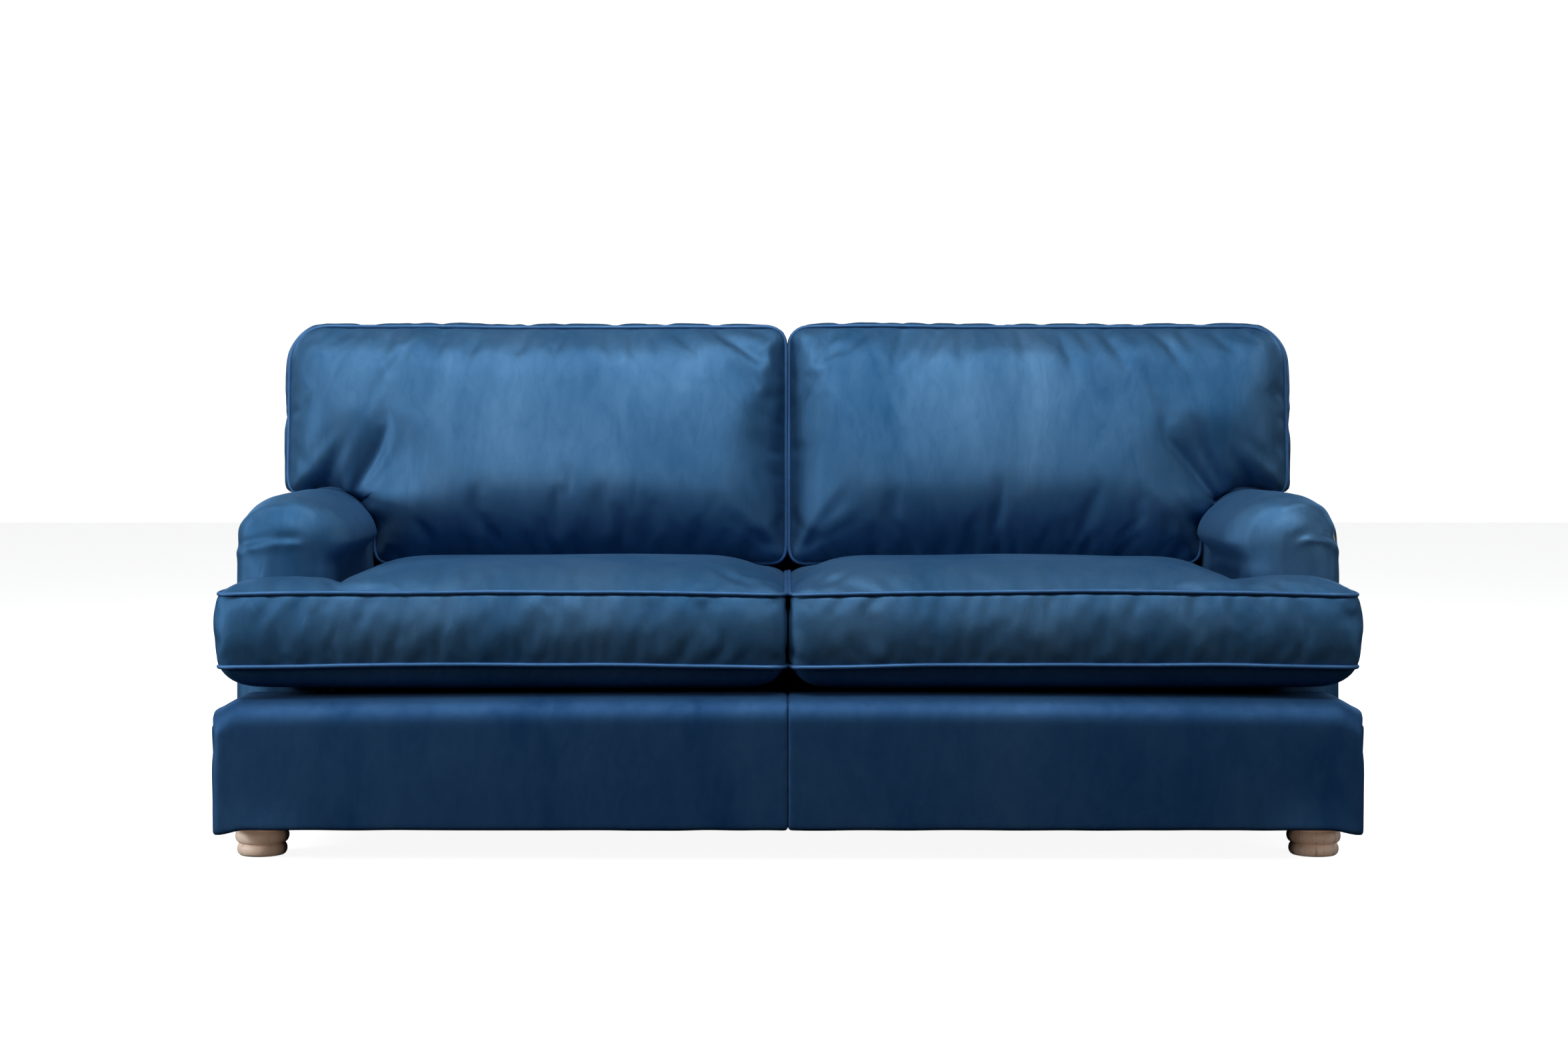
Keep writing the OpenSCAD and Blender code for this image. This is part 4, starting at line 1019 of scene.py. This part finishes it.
def back_case(side, way, seed, folds):
    """The sewn case of one back cushion, made lying on its back and then leaned on the inside back."""
    rects = [(back_inner, 0, seat_outer, case_top), (seat_outer, ear_low, ear_out, case_top)]
    bm = panel_block(rects, back_seams, CASE_PITCH)
    flat = points_of(bm)
    distance = edge_distance(flat, back_outline)
    front_side, rear_side = flat[:, 2] > back_seams[1] - 1e-6, flat[:, 2] < back_seams[0] + 1e-6
    rim = distance < 1e-4
    shape = flat.copy()
    round_corner(shape, (back_inner, 0), (-1, -1), 0.024)
    round_corner(shape, (seat_outer, 0), (1, -1), 0.024)
    round_corner(shape, (ear_out, ear_low), (1, -1), 0.024)
    round_corner(shape, (ear_out, case_top), (1, 1), 0.075)
    round_corner(shape, (back_inner, case_top), (-1, 1), 0.036)
    normal = normals_of(bm, shape)
    share = (flat[:, 2] - back_seams[0]) / (back_seams[1] - back_seams[0])
    facing_out = (normal[:, 0] > 0.3) & (flat[:, 0] > seat_outer + 0.01)
    most_bulge = np.where(facing_out, 0.013, np.where(normal[:, 1] > 0.5, 0.007, 0.0015))
    bulge = most_bulge * (1 - (2 * share - 1) ** 2) * rim
    shape[:, 0] += normal[:, 0] * bulge
    shape[:, 1] += normal[:, 1] * bulge
    up = flat[:, 1] / case_top
    below, above = (BELLY - up) / BELLY, np.clip((up - BELLY) / (1 - BELLY), 0, 1)
    belly = np.where(up < BELLY, 1 - 0.14 * below ** 2, 1 - 0.72 * above ** 1.3)
    width = 0.13 - 0.075 * ease((up - 0.45) / 0.4)
    crown = BACK_CROWN * crowned(distance, width) * belly
    from_turn = np.hypot(flat[:, 0] - seat_outer, flat[:, 1] - ear_low)
    crown += 0.022 * np.exp(-(from_turn / 0.07) ** 2) * ease(from_turn / 0.012 + 0.2)
    lumps = 0.007 * random_field(flat, 3.6, seed) * crowned(distance, 0.16)
    creases = sum(fold_of(flat, *fold) for fold in folds)
    shape[:, 2] += np.where(front_side, crown + (lumps + creases) * ~rim, 0)
    shape[:, 2] -= np.where(rear_side, back_seams[0] * crowned(distance, 0.06, 3.0), 0)
    wander = 0.0026 * random_field(flat * (1, 1, 2), 5.0, seed + 3)
    shape[:, 1] += np.where(rim & (normal[:, 1] > 0.5), wander - 0.001, 0)
    shape[:, 2] += np.where(rim & front_side, 2 * wander, 0)
    over_arm = ease((flat[:, 0] - seat_outer + 0.05) / 0.05) * (flat[:, 1] > ear_low - 1e-6)
    sag = (0.004 + np.clip(shape[:, 2], 0, 0.2) * math.tan(LEAN)) * (1 - ease((flat[:, 1] - ear_low) / 0.12))
    shape[:, 1] -= sag * over_arm
    loops = [seam_loop(bm, rim & front_side), seam_loop(bm, rim & rear_side)]
    x, v, w = way * shape[:, 0], shape[:, 1], shape[:, 2]
    leaned = np.column_stack([x, case_y + v * math.sin(LEAN) - w * math.cos(LEAN),
                              case_z + v * math.cos(LEAN) + w * math.sin(LEAN)])
    piece = finished_piece(f"back_cushion_{side}", bm, leaned, velvet_backs, f"back_cushion_{side}",
                           [f"back_cover_{side}", f"back_core_{side}"], 0)
    held = np.where(rim & (front_side | rear_side), 1.0, np.where(rear_side, 0.6, 0.0))
    return piece, held, loops


def settle_back(piece, way):
    """Keeps a filled back off its neighbours and tucks its ear round the arm."""
    points = case_points(piece)
    points[:, 0] = np.maximum(points[:, 0] * way, 0.0012)
    dy, dz = points[:, 1] - case_y, points[:, 2] - case_z
    v = dy * math.sin(LEAN) + dz * math.cos(LEAN)
    w = dz * math.sin(LEAN) - dy * math.cos(LEAN)
    w = np.maximum(w, 0)
    v = np.maximum(v, -0.0005)
    points[:, 1] = case_y + v * math.sin(LEAN) - w * math.cos(LEAN)
    points[:, 2] = case_z + v * math.cos(LEAN) + w * math.sin(LEAN)
    beside_arm = points[:, 2] < arm_top - 0.004
    points[:, 0] = np.where(beside_arm, np.minimum(points[:, 0], arm_low.x - 0.0015), points[:, 0])
    over_arm = points[:, 0] > arm_low.x - 0.001
    points[:, 2] = np.where(over_arm, np.maximum(points[:, 2], arm_top + 0.0012), points[:, 2])
    tucked = 1 - ease(np.hypot(points[:, 0] - seat_outer, points[:, 2] - arm_top) / TUCK_REACH)
    points[:, 0] += TUCK * tucked
    points[:, 2] -= TUCK * tucked
    ear_end = ease((points[:, 0] - ear_out + TUCK_REACH) / TUCK_REACH)
    points[:, 2] -= EAR_SAG * ear_end * (1 - ease((points[:, 2] - arm_top) / 0.10))
    across, above = points[:, 0] - arm_low.x - arm_roll, points[:, 2] - arm_top + arm_roll
    reach = np.maximum(np.hypot(across, np.maximum(above, 0)), 1e-6)
    push = np.clip((arm_roll + 0.0022) / reach, 1, None)
    near_arm = (points[:, 0] > arm_low.x - 0.002) & (above > 0)
    points[:, 0] = np.where(near_arm, arm_low.x + arm_roll + across * push, points[:, 0])
    points[:, 2] = np.where(near_arm, arm_top - arm_roll + above * push, points[:, 2])
    points[:, 0] = np.where(above <= 0, np.minimum(points[:, 0], arm_low.x - 0.0015), points[:, 0])
    points[:, 0] *= way
    piece.data.vertices.foreach_set("co", points.ravel())
    piece.data.update()


back_folds = {
    "left": [((0.99, 0.20), (0.86, 0.29), 0.010, 0.005), ((0.93, 0.18), (0.84, 0.30), 0.011, 0.005),
             ((0.86, 0.16), (0.78, 0.27), 0.012, 0.005), ((0.02, 0.02), (0.17, 0.12), 0.012, 0.006),
             ((0.03, 0.01), (0.13, 0.20), 0.013, 0.004)],
    "right": [((0.99, 0.21), (0.85, 0.27), 0.010, 0.006), ((0.94, 0.18), (0.83, 0.28), 0.012, 0.007),
              ((0.85, 0.15), (0.72, 0.26), 0.014, 0.007), ((0.82, 0.06), (0.70, 0.19), 0.012, 0.005),
              ((0.02, 0.02), (0.20, 0.11), 0.012, 0.006), ((0.02, 0.01), (0.15, 0.17), 0.012, 0.006)],
}
backs = {}
for side, way, seed in (("left", -1, 31), ("right", 1, 43)):
    backs[side] = (way, seed, *back_case(side, way, seed, back_folds[side]))
stuff([(piece, held, 0.016) for way, seed, piece, held, loops in backs.values()], 4.0, 0.04)
for side, (way, seed, piece, held, loops) in backs.items():
    settle_back(piece, way)
    surface = piece.modifiers.new("surface", "SUBSURF")
    surface.levels = surface.render_levels = 1
    sew_piping(f"back_cord_{side}", piece, loops, f"back_cushion_{side}",
               [f"back_piping_{side}"], seed)


# ---- Zips ----
# Each case closes with a zip of woven navy tape and moulded coil teeth, in the seat's rear boxing and
# in the back's bottom boxing. Its nickelled slider has a stamped puller that lies flat.
ZIP_TEETH = 0.0040
# The slider's plate, two side walls, bridge and puller: each one's size and where it is
SLIDER_PARTS = (
    ((0.011, 0.0090, 0.0012), (0, 0, 0.0032)),
    ((0.011, 0.0012, 0.0030), (0, 0.0042, 0.0016)),
    ((0.011, 0.0012, 0.0030), (0, -0.0042, 0.0016)),
    ((0.003, 0.003, 0.0016), (-0.003, 0, 0.0044)),
    ((0.017, 0.0055, 0.0009), (0.004, 0, 0.0052)),
)


def zip_parts(node, slider_node, name, body, slider_body, turn, outward):
    """The tape with its teeth, and the slider. turn is how the zip's own up leans from +Z, about X."""
    low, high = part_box(node)
    place = Matrix.Translation((low + high) / 2) @ Matrix.Rotation(turn, 4, "X")
    length, half_tape = high.x - low.x, 0.0135
    tape = bmesh.new()
    bmesh.ops.create_grid(tape, x_segments=60, y_segments=8, size=1)
    for v in tape.verts:
        ripple = 0.00025 * noise.noise(Vector((v.co.x * 22, v.co.y, turn)))
        v.co = (v.co.x * length / 2, v.co.y * half_tape, outward - 0.0010 + ripple)
    count = int(length / ZIP_TEETH) - 1
    for i in range(count):
        tooth = bmesh.ops.create_cone(tape, cap_ends=True, segments=6, radius1=0.0011, radius2=0.0008,
                                      depth=0.0048)["verts"]
        bmesh.ops.rotate(tape, verts=tooth, cent=(0, 0, 0), matrix=Matrix.Rotation(math.radians(90), 3, "X"))
        shift = ((i - (count - 1) / 2) * ZIP_TEETH, 0.0007 * (-1) ** i, outward + 0.0003)
        bmesh.ops.translate(tape, verts=tooth, vec=shift)
    bmesh.ops.transform(tape, matrix=place, verts=tape.verts)
    piece = finished_piece(name, tape, points_of(tape), zip_tape, body, [node], 0)
    piece.data.polygons.foreach_set("use_smooth", [False] * len(piece.data.polygons))
    slider_low, slider_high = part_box(slider_node)
    centre = (slider_low + slider_high) / 2
    part = bmesh.new()
    for size, at in SLIDER_PARTS:
        made = bmesh.ops.create_cube(part, size=1)["verts"]
        bmesh.ops.scale(part, verts=made, vec=size)
        edges = list({e for v in made for e in v.link_edges})
        bmesh.ops.translate(part, verts=made, vec=at)
        bmesh.ops.bevel(part, geom=edges, offset=0.00025, affect="EDGES", segments=2, profile=0.5,
                        material=-1)
    bmesh.ops.translate(part, verts=part.verts, vec=(0, 0, outward - 0.0016))
    seat_of = Matrix.Translation((centre.x, (low.y + high.y) / 2, (low.z + high.z) / 2))
    bmesh.ops.transform(part, matrix=seat_of @ Matrix.Rotation(turn, 4, "X"), verts=part.verts)
    finished_piece(name + "_slider", part, points_of(part), nickel, slider_body,
                   [slider_node], 0)


zip_tape = woven("zip_tape", (0.014, 0.036, 0.078), (0.010, 0.026, 0.058), 0.0007, 0.1)
nickel = plated("nickel", (0.48, 0.48, 0.50), 0.26)
for side in ("left", "right"):
    zip_parts(f"seat_zip_{side}", f"seat_zip_slider_{side}", f"seat_zip_sewn_{side}",
              f"seat_cushion_{side}", f"seat_zip_slider_{side}", math.radians(-90), 0.0028)
    zip_parts(f"back_zip_{side}", f"back_zip_slider_{side}", f"back_zip_sewn_{side}",
              f"back_cushion_{side}", f"back_zip_slider_{side}", math.pi - LEAN, 0.0018)
